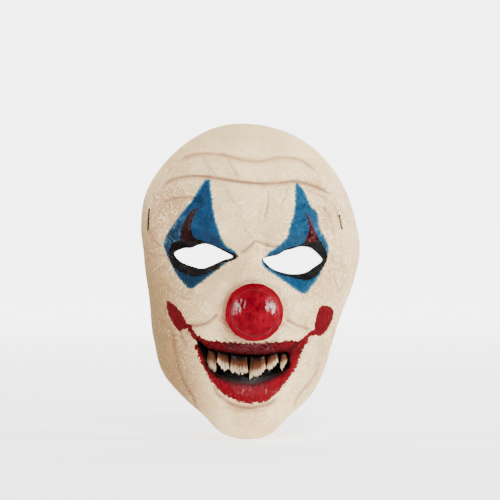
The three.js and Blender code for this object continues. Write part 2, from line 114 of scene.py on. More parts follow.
# across, up and back of the rim, clockwise from the top of the forehead
RIM = np.array([
    (-0.06, 0.427, 0.12), (0.335, 0.400, 0.20), (0.61, 0.340, 0.38), (0.84, 0.241, 0.68),
    (0.975, 0.125, 0.96), (1.02, 0.022, 1.0), (0.965, -0.076, 1.0), (0.85, -0.179, 0.97),
    (0.75, -0.281, 0.87), (0.663, -0.375, 0.79), (0.545, -0.446, 0.69), (0.355, -0.504, 0.50),
    (0.185, -0.560, 0.26), (-0.025, -0.574, 0.20), (-0.235, -0.558, 0.28),
    (-0.405, -0.502, 0.50), (-0.60, -0.442, 0.70), (-0.775, -0.366, 0.80),
    (-0.85, -0.268, 0.88), (-0.894, -0.134, 0.97), (-0.944, 0.0, 1.0), (-0.97, 0.107, 0.97),
    (-0.925, 0.205, 0.80), (-0.76, 0.299, 0.55), (-0.51, 0.377, 0.32), (-0.30, 0.414, 0.18),
])
# up and back of the middle line, from the chin to the top edge
MIDDLE_LINE = np.array([
    (-0.60, 0.10), (-0.513, -0.27), (-0.446, -0.36), (-0.357, -0.38), (-0.268, -0.35),
    (-0.179, -0.29), (-0.089, -0.18), (0.0, -0.06), (0.089, -0.06), (0.179, 0.03),
    (0.268, 0.20), (0.357, 0.48), (0.44, 0.92),
])
print("rim of", len(RIM), "places and middle line of", len(MIDDLE_LINE))

# %% [markdown]
# ## Smooth lines through few numbers
# The tables give few places, and the skin needs the values between them. A cubic whose slope
# at each place is that between its neighbours passes smoothly through them all. The rim is
# looked up by the angle round the nose, so its rows are repeated one turn before and after.

# %% Smooth tables
def smooth_table(knots, values):
    """A cubic through every row, whose slope at a row is that between its neighbours."""
    knots = np.asarray(knots, float)
    values = np.asarray(values, float)
    before = np.maximum(np.arange(len(knots)) - 1, 0)
    after = np.minimum(np.arange(len(knots)) + 1, len(knots) - 1)
    slopes = (values[after] - values[before]) / (knots[after] - knots[before])

    def at(t):
        """The height of the cubic at each place, flat beyond the ends."""
        i = np.clip(np.searchsorted(knots, t) - 1, 0, len(knots) - 2)
        span = knots[i + 1] - knots[i]
        u = np.clip((t - knots[i]) / span, 0, 1)
        v = 1 - u
        return (values[i] * v * v * (1 + 2 * u) + slopes[i] * span * u * v * v
                + values[i + 1] * u * u * (1 + 2 * v) - slopes[i + 1] * span * v * u * u)

    return at


def smooth_step(value, low, high):
    """0 below low, 1 above high, and 3t^2 - 2t^3 of the way between them."""
    t = np.clip((value - low) / (high - low), 0, 1)
    return t * t * (3 - 2 * t)


rim_x = RIM[:, 0] * FACE_HALF_WIDTH - NOSE_X
rim_z = RIM[:, 1] * FACE_HEIGHT - NOSE_Z
rim_angle = np.arctan2(rim_z, rim_x)
order = np.argsort(rim_angle)
turns = np.concatenate([rim_angle[order] + turn for turn in (-2 * np.pi, 0, 2 * np.pi)])
rim_reach = smooth_table(turns, np.tile(np.hypot(rim_x, rim_z)[order], 3))
rim_back = smooth_table(turns, np.tile(RIM[order, 2] * WRAP_DEPTH, 3))
middle_back = smooth_table(MIDDLE_LINE[:, 0], MIDDLE_LINE[:, 1] * FOREHEAD_SLOPE)
print("rim runs", round(float(rim_reach(np.array([1.57]))[0])), "mm above the nose")

# %% [markdown]
# ## Bulges and folds
# A real mask's form is a few soft swellings and many creases. A swelling is a bell round its
# middle. A crease or a roll is a bell across a path, which dies out at both ends. Cast skin
# shows folds of many widths, so a second table adds the narrow ones that only a fine surface
# can carry.

# %% Tables of bulges and folds
# across, up, half spread across, half spread up, lift
BULGES = {
    "left eye socket": (-0.41, -0.004, 0.30, 0.054, -0.9),
    "right eye socket": (0.39, -0.013, 0.30, 0.054, -0.9),
    "left cheek": (-0.55, -0.147, 0.24, 0.076, 0.9),
    "right cheek": (0.525, -0.156, 0.24, 0.076, 0.9),
    "muzzle": (0.0, -0.295, 0.42, 0.115, 0.9),
    "chin": (0.013, -0.509, 0.24, 0.049, 0.9),
    "left temple": (-0.775, 0.125, 0.15, 0.09, -0.35),
    "right temple": (0.80, 0.116, 0.15, 0.09, -0.35),
    "nose root": (0.0, 0.009, 0.11, 0.07, 0.5),
    "left cheek hollow": (-0.70, -0.295, 0.15, 0.10, -0.3),
    "right cheek hollow": (0.66, -0.286, 0.15, 0.10, -0.3),
    "left outer brow": (-0.61, 0.115, 0.14, 0.045, 0.40),
    "right outer brow": (0.71, 0.112, 0.12, 0.050, 0.45),
    "left inner brow": (-0.27, 0.085, 0.14, 0.040, 0.32),
    "right inner brow": (0.28, 0.080, 0.14, 0.040, 0.32),
    "left eye bag": (-0.50, -0.112, 0.20, 0.026, 0.35),
    "right eye bag": (0.54, -0.128, 0.20, 0.026, 0.35),
    "left side of the nose": (-0.27, -0.180, 0.10, 0.040, 0.35),
    "right side of the nose": (0.34, -0.180, 0.10, 0.040, 0.30),
    "left pad by the mouth": (-0.56, -0.335, 0.09, 0.070, 0.40),
    "right pad by the mouth": (0.52, -0.330, 0.09, 0.070, 0.40),
    "left jaw": (-0.74, -0.270, 0.09, 0.080, 0.35),
}
# width, lift, and the path's places across and up
FOLDS = {
    "left brow": (1, 1.3, [(-0.76, 0.03), (-0.65, 0.075), (-0.45, 0.095), (-0.25, 0.07),
                           (-0.11, 0.02)]),
    "right brow": (1, 1.3, [(0.11, 0.015), (0.25, 0.06), (0.44, 0.09), (0.63, 0.07),
                            (0.75, 0.02)]),
    "frown roll": (0.7, 0.8, [(-0.14, 0.03), (0, 0.042), (0.14, 0.03)]),
    "top furrow": (0.6, -0.7, [(-0.75, 0.277), (-0.56, 0.317), (-0.375, 0.321),
                               (-0.125, 0.313), (0.1, 0.306), (0.375, 0.31), (0.56, 0.30),
                               (0.70, 0.268)]),
    "middle furrow": (0.6, -0.7, [(-0.775, 0.196), (-0.625, 0.237), (-0.475, 0.25),
                                  (-0.31, 0.246), (-0.1, 0.234), (0.1, 0.228),
                                  (0.31, 0.234), (0.525, 0.228), (0.69, 0.196),
                                  (0.775, 0.161)]),
    "left low furrow": (0.6, -0.6, [(-0.75, 0.143), (-0.65, 0.179), (-0.525, 0.188),
                                    (-0.375, 0.17)]),
    "right low furrow": (0.6, -0.6, [(0.39, 0.161), (0.51, 0.165), (0.65, 0.147),
                                     (0.75, 0.116)]),
    "left smile fold": (0.7, -1, [(-0.33, -0.17), (-0.42, -0.205), (-0.535, -0.241),
                                  (-0.585, -0.295)]),
    "right smile fold": (0.7, -1, [(0.38, -0.17), (0.46, -0.205), (0.52, -0.241),
                                   (0.55, -0.295)]),
    "left cheek fold": (0.7, -0.8, [(-0.69, -0.223), (-0.70, -0.313), (-0.625, -0.393),
                                    (-0.525, -0.464)]),
    "right cheek fold": (0.7, -0.8, [(0.64, -0.223), (0.625, -0.304), (0.55, -0.384),
                                     (0.45, -0.455)]),
    "chin crease": (0.7, -1, [(-0.30, -0.451), (-0.10, -0.471), (0.10, -0.471),
                              (0.275, -0.446)]),
    "left pouch": (0.8, 0.7, [(-0.625, -0.054), (-0.425, -0.076), (-0.225, -0.058)]),
    "right pouch": (0.8, 0.7, [(0.20, -0.076), (0.40, -0.089), (0.60, -0.067)]),
    "left pouch crease": (0.6, -0.7, [(-0.65, -0.089), (-0.425, -0.116), (-0.28, -0.10)]),
    "right pouch crease": (0.6, -0.7, [(0.30, -0.115), (0.40, -0.129), (0.625, -0.098)]),
    "lower lip": (1, 1.4, [(-0.463, -0.286), (-0.413, -0.344), (-0.313, -0.393),
                           (-0.175, -0.42), (-0.025, -0.429), (0.125, -0.42), (0.25, -0.391),
                           (0.356, -0.344), (0.419, -0.29)]),
    "upper lip": (0.6, 0.8, [(-0.45, -0.263), (-0.225, -0.275), (-0.038, -0.283),
                             (0.175, -0.278), (0.425, -0.27)]),
    "left horn": (0.6, 0.8, [(-0.45, 0.156), (-0.51, 0.125), (-0.55, 0.089),
                             (-0.57, 0.054)]),
    "right horn": (0.6, 0.8, [(0.475, 0.138), (0.525, 0.107), (0.563, 0.076),
                              (0.588, 0.054)]),
}
print(len(BULGES), "bulges and", len(FOLDS), "folds")

# %% [markdown]
# ## From a table to a height
# A path is a smooth curve through its row of places. The height at a point then needs only
# the distance to the path and how far along it the nearest place lies. The bell across the
# path dies out towards both of its ends, as a fold in rubber does.

# %% Curves, paths and bells
FAR = 1e9
FOLD_FADE = 0.25


def open_curve(places, steps=6):
    """A uniform cubic through the places: between two of them the point is the blend of
    four neighbours, with the ends' neighbours mirrored."""
    p = np.asarray(places, float)
    p = np.vstack([2 * p[0] - p[1], p, 2 * p[-1] - p[-2]])
    t = np.linspace(0, 1, steps, endpoint=False)[:, None]
    spans = [0.5 * (2 * b + (c - a) * t + (2 * a - 5 * b + 4 * c - d) * t ** 2
                    + (3 * b - a - 3 * c + d) * t ** 3)
             for a, b, c, d in zip(p[:-3], p[1:-2], p[2:-1], p[3:])]
    return np.vstack(spans + [p[-2:-1]])


def from_shares(places):
    """Places across and up in millimetres: the shares times the half width and height."""
    return np.asarray(places, float) * (FACE_HALF_WIDTH, FACE_HEIGHT)


def path_length(path):
    """The sum of the lengths of a path's steps."""
    return float(np.linalg.norm(np.diff(path, axis=0), axis=1).sum())


def near_path(x, z, path):
    """Distance to a chain of straight steps, and the share of the chain at the nearest
    place. Only points in the path's neighbourhood are worked out; the rest are far."""
    reach = 4 * FOLD_WIDTH
    low = path.min(0) - reach
    high = path.max(0) + reach
    close = (x > low[0]) & (x < high[0]) & (z > low[1]) & (z < high[1])
    px = x[close]
    pz = z[close]
    best = np.full(px.shape, FAR)
    along = np.zeros(px.shape)
    for i, (a, b) in enumerate(zip(path[:-1], path[1:])):
        d = b - a
        t = np.clip(((px - a[0]) * d[0] + (pz - a[1]) * d[1]) / (d @ d), 0, 1)
        gap = np.hypot(px - a[0] - t * d[0], pz - a[1] - t * d[1])
        nearer = gap < best
        best = np.where(nearer, gap, best)
        along = np.where(nearer, (i + t) / (len(path) - 1), along)
    distance = np.full(x.shape, FAR)
    share = np.zeros(x.shape)
    distance[close] = best
    share[close] = along
    return distance, share


def bell(distance, half):
    """exp(-(distance / half)^2): 1 on the line, and nearly 0 two half widths away."""
    return np.exp(-(distance / half) ** 2)


def end_fade(share, reach):
    """0 at both ends of a path, and 1 once this share of it lies behind and before."""
    return smooth_step(np.minimum(share, 1 - share), -0.02, reach)


def bulge_lift(x, z):
    """The sum of lift times exp(-(u^2 + v^2)), u and v counted from each bulge's middle."""
    total = np.zeros(x.shape)
    for across, up, wide, tall, lift in BULGES.values():
        u = (x / FACE_HALF_WIDTH - across) / wide
        v = (z / FACE_HEIGHT - up) / tall
        total += lift * BULGE_HEIGHT * np.exp(-u * u - v * v)
    return total


def fold_lift(x, z, folds):
    """The sum of lift times a bell across each fold's path, faded out at both ends."""
    total = np.zeros(x.shape)
    for wide, lift, places in folds.values():
        distance, share = near_path(x, z, open_curve(from_shares(places)))
        total += (lift * FOLD_HEIGHT * end_fade(share, FOLD_FADE)
                  * bell(distance, wide * FOLD_WIDTH))
    return total


furrow_path = open_curve(from_shares(FOLDS["middle furrow"][2]))
print("the middle furrow is", round(path_length(furrow_path)), "mm long")

# %% [markdown]
# ## The mouth and eyes as outlines
# The eye holes are cut through and the mouth is a closed recess. Both are known by a signed
# distance to their outline, below zero inside. That one number drives the fall of the skin
# into the mouth, and later the edge of the paint.

# %% Outlines and their signed distance
LEFT_EYE = [
    (-0.664, 0.011), (-0.58, 0.027), (-0.516, 0.028), (-0.445, 0.038), (-0.39, 0.041),
    (-0.324, 0.035), (-0.235, 0.019), (-0.15, 0.001), (-0.235, -0.010), (-0.346, -0.028),
    (-0.413, -0.036), (-0.48, -0.032), (-0.60, -0.016),
]
RIGHT_EYE = [
    (0.12, -0.005), (0.241, 0.006), (0.308, 0.019), (0.375, 0.025), (0.441, 0.032),
    (0.486, 0.032), (0.544, 0.027), (0.615, 0.006), (0.643, -0.012), (0.57, -0.032),
    (0.509, -0.046), (0.441, -0.053), (0.351, -0.053), (0.263, -0.046), (0.196, -0.036),
    (0.151, -0.023),
]
MOUTH = [
    (-0.456, -0.260), (-0.363, -0.282), (-0.155, -0.296), (0.075, -0.300), (0.29, -0.293),
    (0.343, -0.301), (0.348, -0.325), (0.334, -0.346), (0.261, -0.366), (0.106, -0.389),
    (-0.013, -0.395), (-0.209, -0.384), (-0.311, -0.366), (-0.385, -0.335), (-0.40, -0.295),
]
MOUTH_DEPTH = 7.0


def closed_curve(places, steps=6):
    """The same cubic as an open curve's, round a closed outline."""
    p = np.asarray(places, float)
    wrapped = np.vstack([p[-2:], p, p[:3]])
    return open_curve(wrapped, steps)[2 * steps:(2 + len(p)) * steps]


def signed_distance(x, z, outline, margin=12.0):
    """Distance to the outline, below zero inside, where a ray to the right crosses it an
    odd number of times. Points further off than the margin are given the margin."""
    low = outline.min(0) - margin
    high = outline.max(0) + margin
    close = (x > low[0]) & (x < high[0]) & (z > low[1]) & (z < high[1])
    px = x[close]
    pz = z[close]
    best = np.full(px.shape, margin)
    inside = np.zeros(px.shape, bool)
    for a, b in zip(outline, np.roll(outline, -1, axis=0)):
        d = b - a
        t = np.clip(((px - a[0]) * d[0] + (pz - a[1]) * d[1]) / (d @ d), 0, 1)
        best = np.minimum(best, np.hypot(px - a[0] - t * d[0], pz - a[1] - t * d[1]))
        if a[1] != b[1]:
            spans = (a[1] > pz) != (b[1] > pz)
            inside ^= spans & (px < a[0] + (pz - a[1]) * d[0] / d[1])
    result = np.full(x.shape, margin)
    result[close] = np.where(inside, -best, best)
    return result


eye_outlines = [closed_curve(from_shares(eye)) for eye in (LEFT_EYE, RIGHT_EYE)]
mouth_outline = closed_curve(from_shares(MOUTH))
print("mouth is", round(float(np.ptp(mouth_outline[:, 0]))), "mm wide")

# %% [markdown]
# ## The soft form and its folds
# The soft form is the middle line, the wrap and the bulges. The folds are laid over it, and
# the whole runs into a flat ring round the nose hole, where the ball sits. The skin is then
# shifted so that its inner side between the eyes lies at the frame's origin.

# %% Soft and folded depth
def polar(x, z):
    """Distance and angle of each place, counted from the middle of the nose."""
    dx = x - NOSE_X
    dz = z - NOSE_Z
    return np.hypot(dx, dz), np.arctan2(dz, dx)


def soft_depth(x, z):
    """Middle line + wrap * (1 - cos turn) / (1 - cos edge turn) - bulges, where the sine
    of the turn grows in step with the share of the way from the nose to the rim."""
    radius, angle = polar(x, z)
    share = np.minimum(radius / rim_reach(angle), 1.01)
    turn = np.arcsin(share * math.sin(EDGE_TURN))
    wrap = (1 - np.cos(turn)) / (1 - math.cos(EDGE_TURN))
    inside = smooth_step(1 - share, 0, PLAIN_RIM_SHARE)
    return middle_back(z / FACE_HEIGHT) + rim_back(angle) * wrap - inside * bulge_lift(x, z)


def seat_blend(x, z, depth):
    """The depth where the nose is far, the flat ring's where it is near, and a smooth step
    between the two. The ball sits on that ring."""
    radius, _ = polar(x, z)
    edge = NOSE_RADIUS + NOSE_SEAT_EDGE
    blend = smooth_step(radius, edge, edge + NOSE_SEAT_BLEND)
    return -NOSE_SEAT_FORWARD + (depth + NOSE_SEAT_FORWARD) * blend


def raw_depth(x, z, folds):
    """Soft depth less the lift of the folds, which comes to nothing at the rim, with the
    whole run into the ring round the nose."""
    radius, angle = polar(x, z)
    inside = smooth_step(1 - radius / rim_reach(angle), 0, PLAIN_RIM_SHARE)
    return seat_blend(x, z, soft_depth(x, z) - inside * fold_lift(x, z, folds))


origin = np.zeros(1)
SEAT_SHIFT = -LATEX_WALL - float(raw_depth(origin, origin, FOLDS)[0])
print("seat shift", round(SEAT_SHIFT, 2), "mm")

# %% [markdown]
# ## From a pixel to the skin
# A sight line meets the skin where the line's depth is the skin's own. No formula gives that
# place at once, but a guess can be mended: the skin's depth at one guess says how far along
# the line the next guess lies, and a few rounds settle it.

# %% Pixels on the mask
def on_mask(pixels, rounds=6):
    """Where the sight lines through the pixels meet the soft skin: the depth found at one
    guess gives the next point of the line."""
    ways = sight_lines(pixels)
    depth = np.zeros(len(ways))
    for _ in range(rounds):
        points = eye_point + ways * ((depth - eye_point[1]) / ways[:, 1])[:, None]
        depth = SEAT_SHIFT + soft_depth(points[:, 0], points[:, 2])
    return points[:, [0, 2]]


middle_pixel = on_mask([(PHOTO_SIDE / 2, PHOTO_SIDE / 2)])[0]
print("the middle pixel is at", [round(float(v), 1) for v in middle_pixel], "mm")

# %% [markdown]
# ## Creases and the roll of gum
# The folds above are broad. A latex face also has sharp creases where the sculptor drew a
# tool through the clay: two long ones over the forehead, short slanted ones between them,
# the smile folds, a deep one down each cheek and the one under the lip. Each is a path of
# pixels with a width and a depth. The last path is the low roll of gum that lies along the
# bottom of the open mouth.

# %% Table of creases
# half width in millimetres, depth as a share of the crease depth, and the path's pixels
CREASES = [
    (1.3, 0.95, [(174, 162.5), (184, 157.5), (194, 154.7), (206.5, 153.5), (222, 154.7),
                 (234, 158), (246, 161), (260, 161.3), (275, 158), (291, 158), (303, 161.6),
                 (312, 168.5), (321, 174)]),
    (1.1, 1.2, [(159, 193), (163.7, 186), (171, 180.5), (182, 177), (194, 176.2),
                (206.5, 176.6), (219, 178.5), (234, 181), (249.4, 183), (264.7, 184),
                (280, 183), (294, 181.5), (306, 184), (317, 187.6), (329, 193), (336, 199)]),
    (1.0, 0.6, [(203.5, 156.3), (209.6, 167), (218, 178)]),
    (1.0, 0.6, [(221.8, 151), (229.5, 162.4), (235.6, 173), (238.4, 181)]),
    (1.0, 0.5, [(218, 181), (226, 191), (234, 202), (243, 212)]),
    (1.1, 0.9, [(161, 204), (168, 200), (176, 198), (188, 197), (199, 199.7), (206, 203)]),
    (1.0, 0.6, [(157, 218), (160, 211), (167, 206), (178, 204)]),
    (1.1, 0.9, [(295, 207.5), (303, 206), (312, 207)]),
    (1.1, 0.8, [(303, 189), (316, 194), (329, 201), (336, 209), (339, 222)]),
    (1.0, 0.8, [(321, 206), (328, 214), (332, 226), (333, 238)]),
    (1.0, 0.9, [(150, 229), (152, 236), (156, 242), (163, 247.5)]),
    (1.0, 0.8, [(147, 252), (154, 254.5), (160, 255.3), (167, 255)]),
    (1.1, 0.8, [(169, 264), (161, 268), (155, 275), (151, 283)]),
    (1.0, 0.7, [(166, 279), (172, 290), (182, 297), (194, 299)]),
    (1.0, 0.6, [(329, 258), (338, 263.5), (350, 268)]),
    (1.0, 0.6, [(326, 268), (334, 279), (340, 293)]),
    (1.1, 1.1, [(239, 255.5), (247, 249), (254.6, 241.6), (261, 243), (272, 246.5),
                (283, 246)]),
    (1.0, 0.45, [(243, 226), (248, 234), (254, 241)]),
    (1.0, 0.45, [(268, 190), (267, 205), (263, 222)]),
    (1.0, 0.45, [(288, 186), (284, 197), (279, 210)]),
    (1.2, 1.1, [(219, 313), (213, 319), (204.6, 324.4), (196, 325.8), (188, 323.5)]),
    (1.2, 1.0, [(284.5, 319), (293, 323.5), (302, 327.4), (309.5, 331)]),
    (1.1, 1.3, [(172, 326), (174, 338), (176, 351), (179, 365), (183, 377), (188.5, 388),
                (194, 397.5), (197.5, 407), (202, 415)]),
    (1.0, 0.7, [(180, 331), (184, 340), (188, 347)]),
    (1.0, 0.6, [(188.5, 329), (191.5, 336), (192.5, 345)]),
    (1.0, 0.6, [(161, 371), (168, 378), (176, 388), (186, 400)]),
    (1.3, 1.3, [(209, 382), (219, 394), (228, 401), (237, 406), (247.6, 408), (258.5, 406.8),
                (269.5, 403.5), (279, 396)]),
    (1.0, 0.6, [(224, 406), (234.6, 410), (247.6, 411.3), (259, 411), (268, 408)]),
    (1.4, 0.9, [(320.7, 357), (317, 371), (311, 381), (301.6, 391.5), (295.8, 400),
                (293.5, 410)]),
    (1.0, 0.5, [(315.5, 342), (312, 355), (305, 367)]),
]
GUM_ROLL = [(214, 374), (222, 378.5), (235, 382.2), (248, 383.6), (262, 382), (274, 377.5),
            (283, 371)]
CREASE_STEPS = 5
CREASE_LINES = [(half, deep, open_curve(on_mask(path), CREASE_STEPS))
                for half, deep, path in CREASES]
GUM_LINE = open_curve(on_mask(GUM_ROLL), CREASE_STEPS)
print(len(CREASE_LINES), "creases, the longest",
      round(max(path_length(line) for _, _, line in CREASE_LINES)), "mm")

# %% [markdown]
# ## The section of a crease
# A tool that is drawn through clay pushes some of it up along both sides. So the section of
# a crease is a bell inwards with two lower bells outwards beside it. The same bell says how
# much brown goes into the line, partly the maker's airbrush and partly painted shade.

# %% Crease functions
CREASE_DEPTH = 1.35
CREASE_FADE = 0.12
PROUD_SHARE = 0.75
PROUD_PLACE = 2.2
PROUD_HALF = 1.2
GUM_HALF = 1.3
GUM_LIFT = 1.4
GUM_FADE = 0.2


def crease_depth(x, z):
    """The sum over the creases of depth * fade * (bell - share * bell beside it), so that
    the skin goes in along the line and stands up a little on both sides."""
    total = np.zeros(x.shape)
    for half, deep, path in CREASE_LINES:
        distance, share = near_path(x, z, path)
        sides = bell(distance - PROUD_PLACE * half, PROUD_HALF * half)
        total += (CREASE_DEPTH * deep * end_fade(share, CREASE_FADE)
                  * (bell(distance, half) - PROUD_SHARE * sides))
    return total


def crease_brown_and_shade(x, z):
    """The deepest crease's bell times its depth, for the brown along the lines, partly airbrush
    and partly painted shade.
    """
    best = np.zeros(x.shape)
    for half, deep, path in CREASE_LINES:
        distance, share = near_path(x, z, path)
        best = np.maximum(best, deep * end_fade(share, CREASE_FADE) * bell(distance, half))
    return best


def gum_bell(x, z):
    """A bell across the roll of gum, faded out at both ends."""
    distance, share = near_path(x, z, GUM_LINE)
    return end_fade(share, GUM_FADE) * bell(distance, GUM_HALF)


print("the gum is", round(path_length(GUM_LINE)), "mm long and", GUM_LIFT, "mm high")

# %% [markdown]
# ## Depth of the outer and the inner side
# The outer side takes every fold and crease, the lips' fall into the mouth, and the gum. The
# inner side of a cast mask is smoother, because liquid latex pools there, so it follows the
# broad folds alone, with a wider pocket behind the mouth that keeps the wall whole.

# %% Outer and inner depth
LIP_TURN = (-0.6, 2.2)
POCKET_TURN = (-LATEX_WALL - 3.0, -LATEX_WALL + 1.0)


def mouth_floor(x, z):
    """The soft skin, moved back by the depth of the mouth."""
    return SEAT_SHIFT + soft_depth(x, z) + MOUTH_DEPTH


def outer_depth(x, z):
    """Skin with folds and creases outside the mouth's outline, the floor less the gum
    inside it, and a smooth step from one to the other across the lip."""
    inside = smooth_step(-signed_distance(x, z, mouth_outline), *LIP_TURN)
    skin = SEAT_SHIFT + raw_depth(x, z, FOLDS) + crease_depth(x, z)
    floor = mouth_floor(x, z) - GUM_LIFT * gum_bell(x, z)
    return skin * (1 - inside) + floor * inside


def inner_depth(x, z):
    """Skin with its broad folds, and the mouth's pocket begun one wall further out."""
    fall = smooth_step(-signed_distance(x, z, mouth_outline), *POCKET_TURN)
    return SEAT_SHIFT + raw_depth(x, z, FOLDS) + MOUTH_DEPTH * fall


lip_wall = outer_depth(mouth_outline[:, 0], mouth_outline[:, 1]) - mouth_floor(*mouth_outline.T)
print("the lip's edge stands", round(float(-lip_wall.mean()), 1), "mm before the floor")

# %% [markdown]
# ## The skin's mesh
# The skin is a ring: it starts at the nose hole and ends at the rim, so a grid of angles
# round the nose and steps outwards covers it with no pole. Steps are even in the turn of the
# wrap, which keeps the cells square where the sides fall away. The inner side has the same
# angles and fewer rings, because it carries no creases, so the two join at both edges.

# %% Grid helpers
ANGLES = 560
RINGS = 120
INNER_RINGS = 40


def grid_faces(rows, columns, close_rows=False, close_columns=False):
    """Quads between neighbouring rows and columns of a grid, wrapped where it closes."""
    i = np.arange(rows if close_rows else rows - 1)[:, None]
    j = np.arange(columns if close_columns else columns - 1)[None, :]
    here = i * columns + j
    right = i * columns + (j + 1) % columns
    below = (i + 1) % rows * columns + j
    cross = (i + 1) % rows * columns + (j + 1) % columns
    return np.stack([here, below, cross, right], -1).reshape(-1, 4)


def make_mesh(name, points_mm, faces, smooth=True):
    """A linked object at the origin whose mesh holds the points, in metres. The faces are
    an array of quads, or a list where they have different numbers of corners."""
    mesh = bpy.data.meshes.new(name)
    rows = faces.tolist() if isinstance(faces, np.ndarray) else faces
    mesh.from_pydata((np.asarray(points_mm) * MM).tolist(), [], rows)
    mesh.polygons.foreach_set("use_smooth", np.full(len(mesh.polygons), smooth))
    mesh.update()
    made = bpy.data.objects.new(name, mesh)
    bpy.context.scene.collection.objects.link(made)
    return made


def volume_of(made):
    """A sixth of the sum of a . (b x c) over the triangles, above zero if faces look out."""
    mesh = made.data
    mesh.calc_loop_triangles()
    co = np.empty(len(mesh.vertices) * 3)
    mesh.vertices.foreach_get("co", co)
    corners = np.empty(len(mesh.loop_triangles) * 3, int)
    mesh.loop_triangles.foreach_get("vertices", corners)
    a, b, c = co.reshape(-1, 3)[corners.reshape(-1, 3)].transpose(1, 0, 2)
    return float(np.einsum("ij,ij->i", a, np.cross(b, c)).sum() / 6)


def face_outwards(made):
    """Turns every face round if the volume comes out below zero."""
    if volume_of(made) < 0:
        made.data.flip_normals()


print("grid of", ANGLES, "angles,", RINGS, "rings outside and", INNER_RINGS, "inside")

# %% [markdown]
# ## Building the skin
# Each angle gives one closed section: out along the outer side to the rim, and back along
# the inner side to the nose hole. A surface's own square direction comes from the cross
# product of two steps on its grid, and the wall's thickness is measured along it. Round the
# nose hole the wall goes straight back, so that the hole's side is square to the seat.

# %% The skin
def surface_normals(points):
    """Cross product of the steps round and the steps outwards of a grid closed round."""
    round_step = np.roll(points, -1, axis=0) - np.roll(points, 1, axis=0)
    out_step = np.gradient(points, axis=1)
    normal = np.cross(round_step, out_step)
    return normal / np.linalg.norm(normal, axis=-1, keepdims=True)


def ring_grid(rings):
    """Places across and up: the turn grows evenly from the nose hole to the rim, and the
    radius is reach * sin(turn) / sin(edge turn)."""
    angle = np.linspace(-np.pi, np.pi, ANGLES, endpoint=False)[:, None]
    reach = rim_reach(angle)
    hole_radius = NECK_RADIUS + NOSE_CLEARANCE
    first_turn = np.arcsin(hole_radius / reach * math.sin(EDGE_TURN))
    turn = first_turn + (EDGE_TURN - first_turn) * np.linspace(0, 1, rings + 1)[None, :]
    radius = reach * np.sin(turn) / math.sin(EDGE_TURN)
    return NOSE_X + radius * np.cos(angle), NOSE_Z + radius * np.sin(angle)


grid_x, grid_z = ring_grid(RINGS)
outer = np.stack([grid_x, outer_depth(grid_x, grid_z), grid_z], -1)
grid_x, grid_z = ring_grid(INNER_RINGS)
inner = np.stack([grid_x, inner_depth(grid_x, grid_z), grid_z], -1)
inward = surface_normals(inner)
inward *= np.sign(inward[..., 1:2])
inward[:, 0] = (0.0, 1.0, 0.0)
inner = inner + LATEX_WALL * inward
section = np.concatenate([outer, inner[:, ::-1]], axis=1)
columns = section.shape[1]
faces = grid_faces(ANGLES, columns, close_rows=True, close_columns=True)
skin = make_mesh("face_skin", section.reshape(-1, 3), faces)
# a face is an inner one, with the unpainted material, when all its corners are
is_inner = np.tile(np.arange(columns) > RINGS, ANGLES)
skin.data.polygons.foreach_set("material_index", is_inner[faces].all(1).astype(int))
face_outwards(skin)
print("skin has", len(skin.data.polygons), "faces")

# %% [markdown]
# ## Cutting the eye holes
# The holes could be left out of the grid, but a grid cut along its cells has a ragged edge.
# A boolean with a straight cutter gives a clean one. The cutter is the eye's outline drawn
# out from front to back, its walls carry a third material for the black paint on the edge,
# and the cut is applied at once so that no modifier is left on the piece.

# %% Cut the eyes
CUT_REACH = 60.0


def outline_cutter(name, outline):
    """The outline drawn straight along the depth, with one face at each end."""
    count = len(outline)
    front = np.stack([outline[:, 0], np.full(count, -CUT_REACH), outline[:, 1]], -1)
    back = front + (0.0, 2 * CUT_REACH, 0.0)
    here = np.arange(count)
    after = (here + 1) % count
    sides = np.stack([here, after, count + after, count + here], -1)
    ends = [list(range(count - 1, -1, -1)), list(range(count, 2 * count))]
    made = make_mesh(name, np.vstack([front, back]), sides.tolist() + ends, smooth=False)
    face_outwards(made)
    return made


def cut_away(made, cutter):
    """Applies a boolean difference and deletes the cutter."""
    cut = made.modifiers.new("cut", "BOOLEAN")
    cut.operation = "DIFFERENCE"
    cut.solver = "MANIFOLD"
    cut.object = cutter
    bpy.context.view_layer.update()
    evaluated = made.evaluated_get(bpy.context.evaluated_depsgraph_get())
    mesh = bpy.data.meshes.new_from_object(evaluated)
    old = made.data
    made.modifiers.clear()
    made.data = mesh
    mesh.name = made.name
    bpy.data.meshes.remove(old)
    bpy.data.objects.remove(cutter)


for name in ("skin_paint", "skin_inside", "skin_edge"):
    skin.data.materials.append(bpy.data.materials.new(name))
for number, outline in enumerate(eye_outlines):
    cutter = outline_cutter(f"eye_cutter_{number}", outline)
    cutter.data.materials.append(bpy.data.materials["skin_edge"])
    cut_away(skin, cutter)
print("skin has", len(skin.data.polygons), "faces and volume",
      round(volume_of(skin) * 1e6, 1), "cm3")

# %% [markdown]
# ## Paint laid out on the photograph
# The real mask was painted by hand over the cast form, so the paint doesn't follow the folds
# exactly. Its edges were read off the photograph as short lists of pixels. Each list is sent
# along its sight lines on to the skin and closed into a smooth outline.

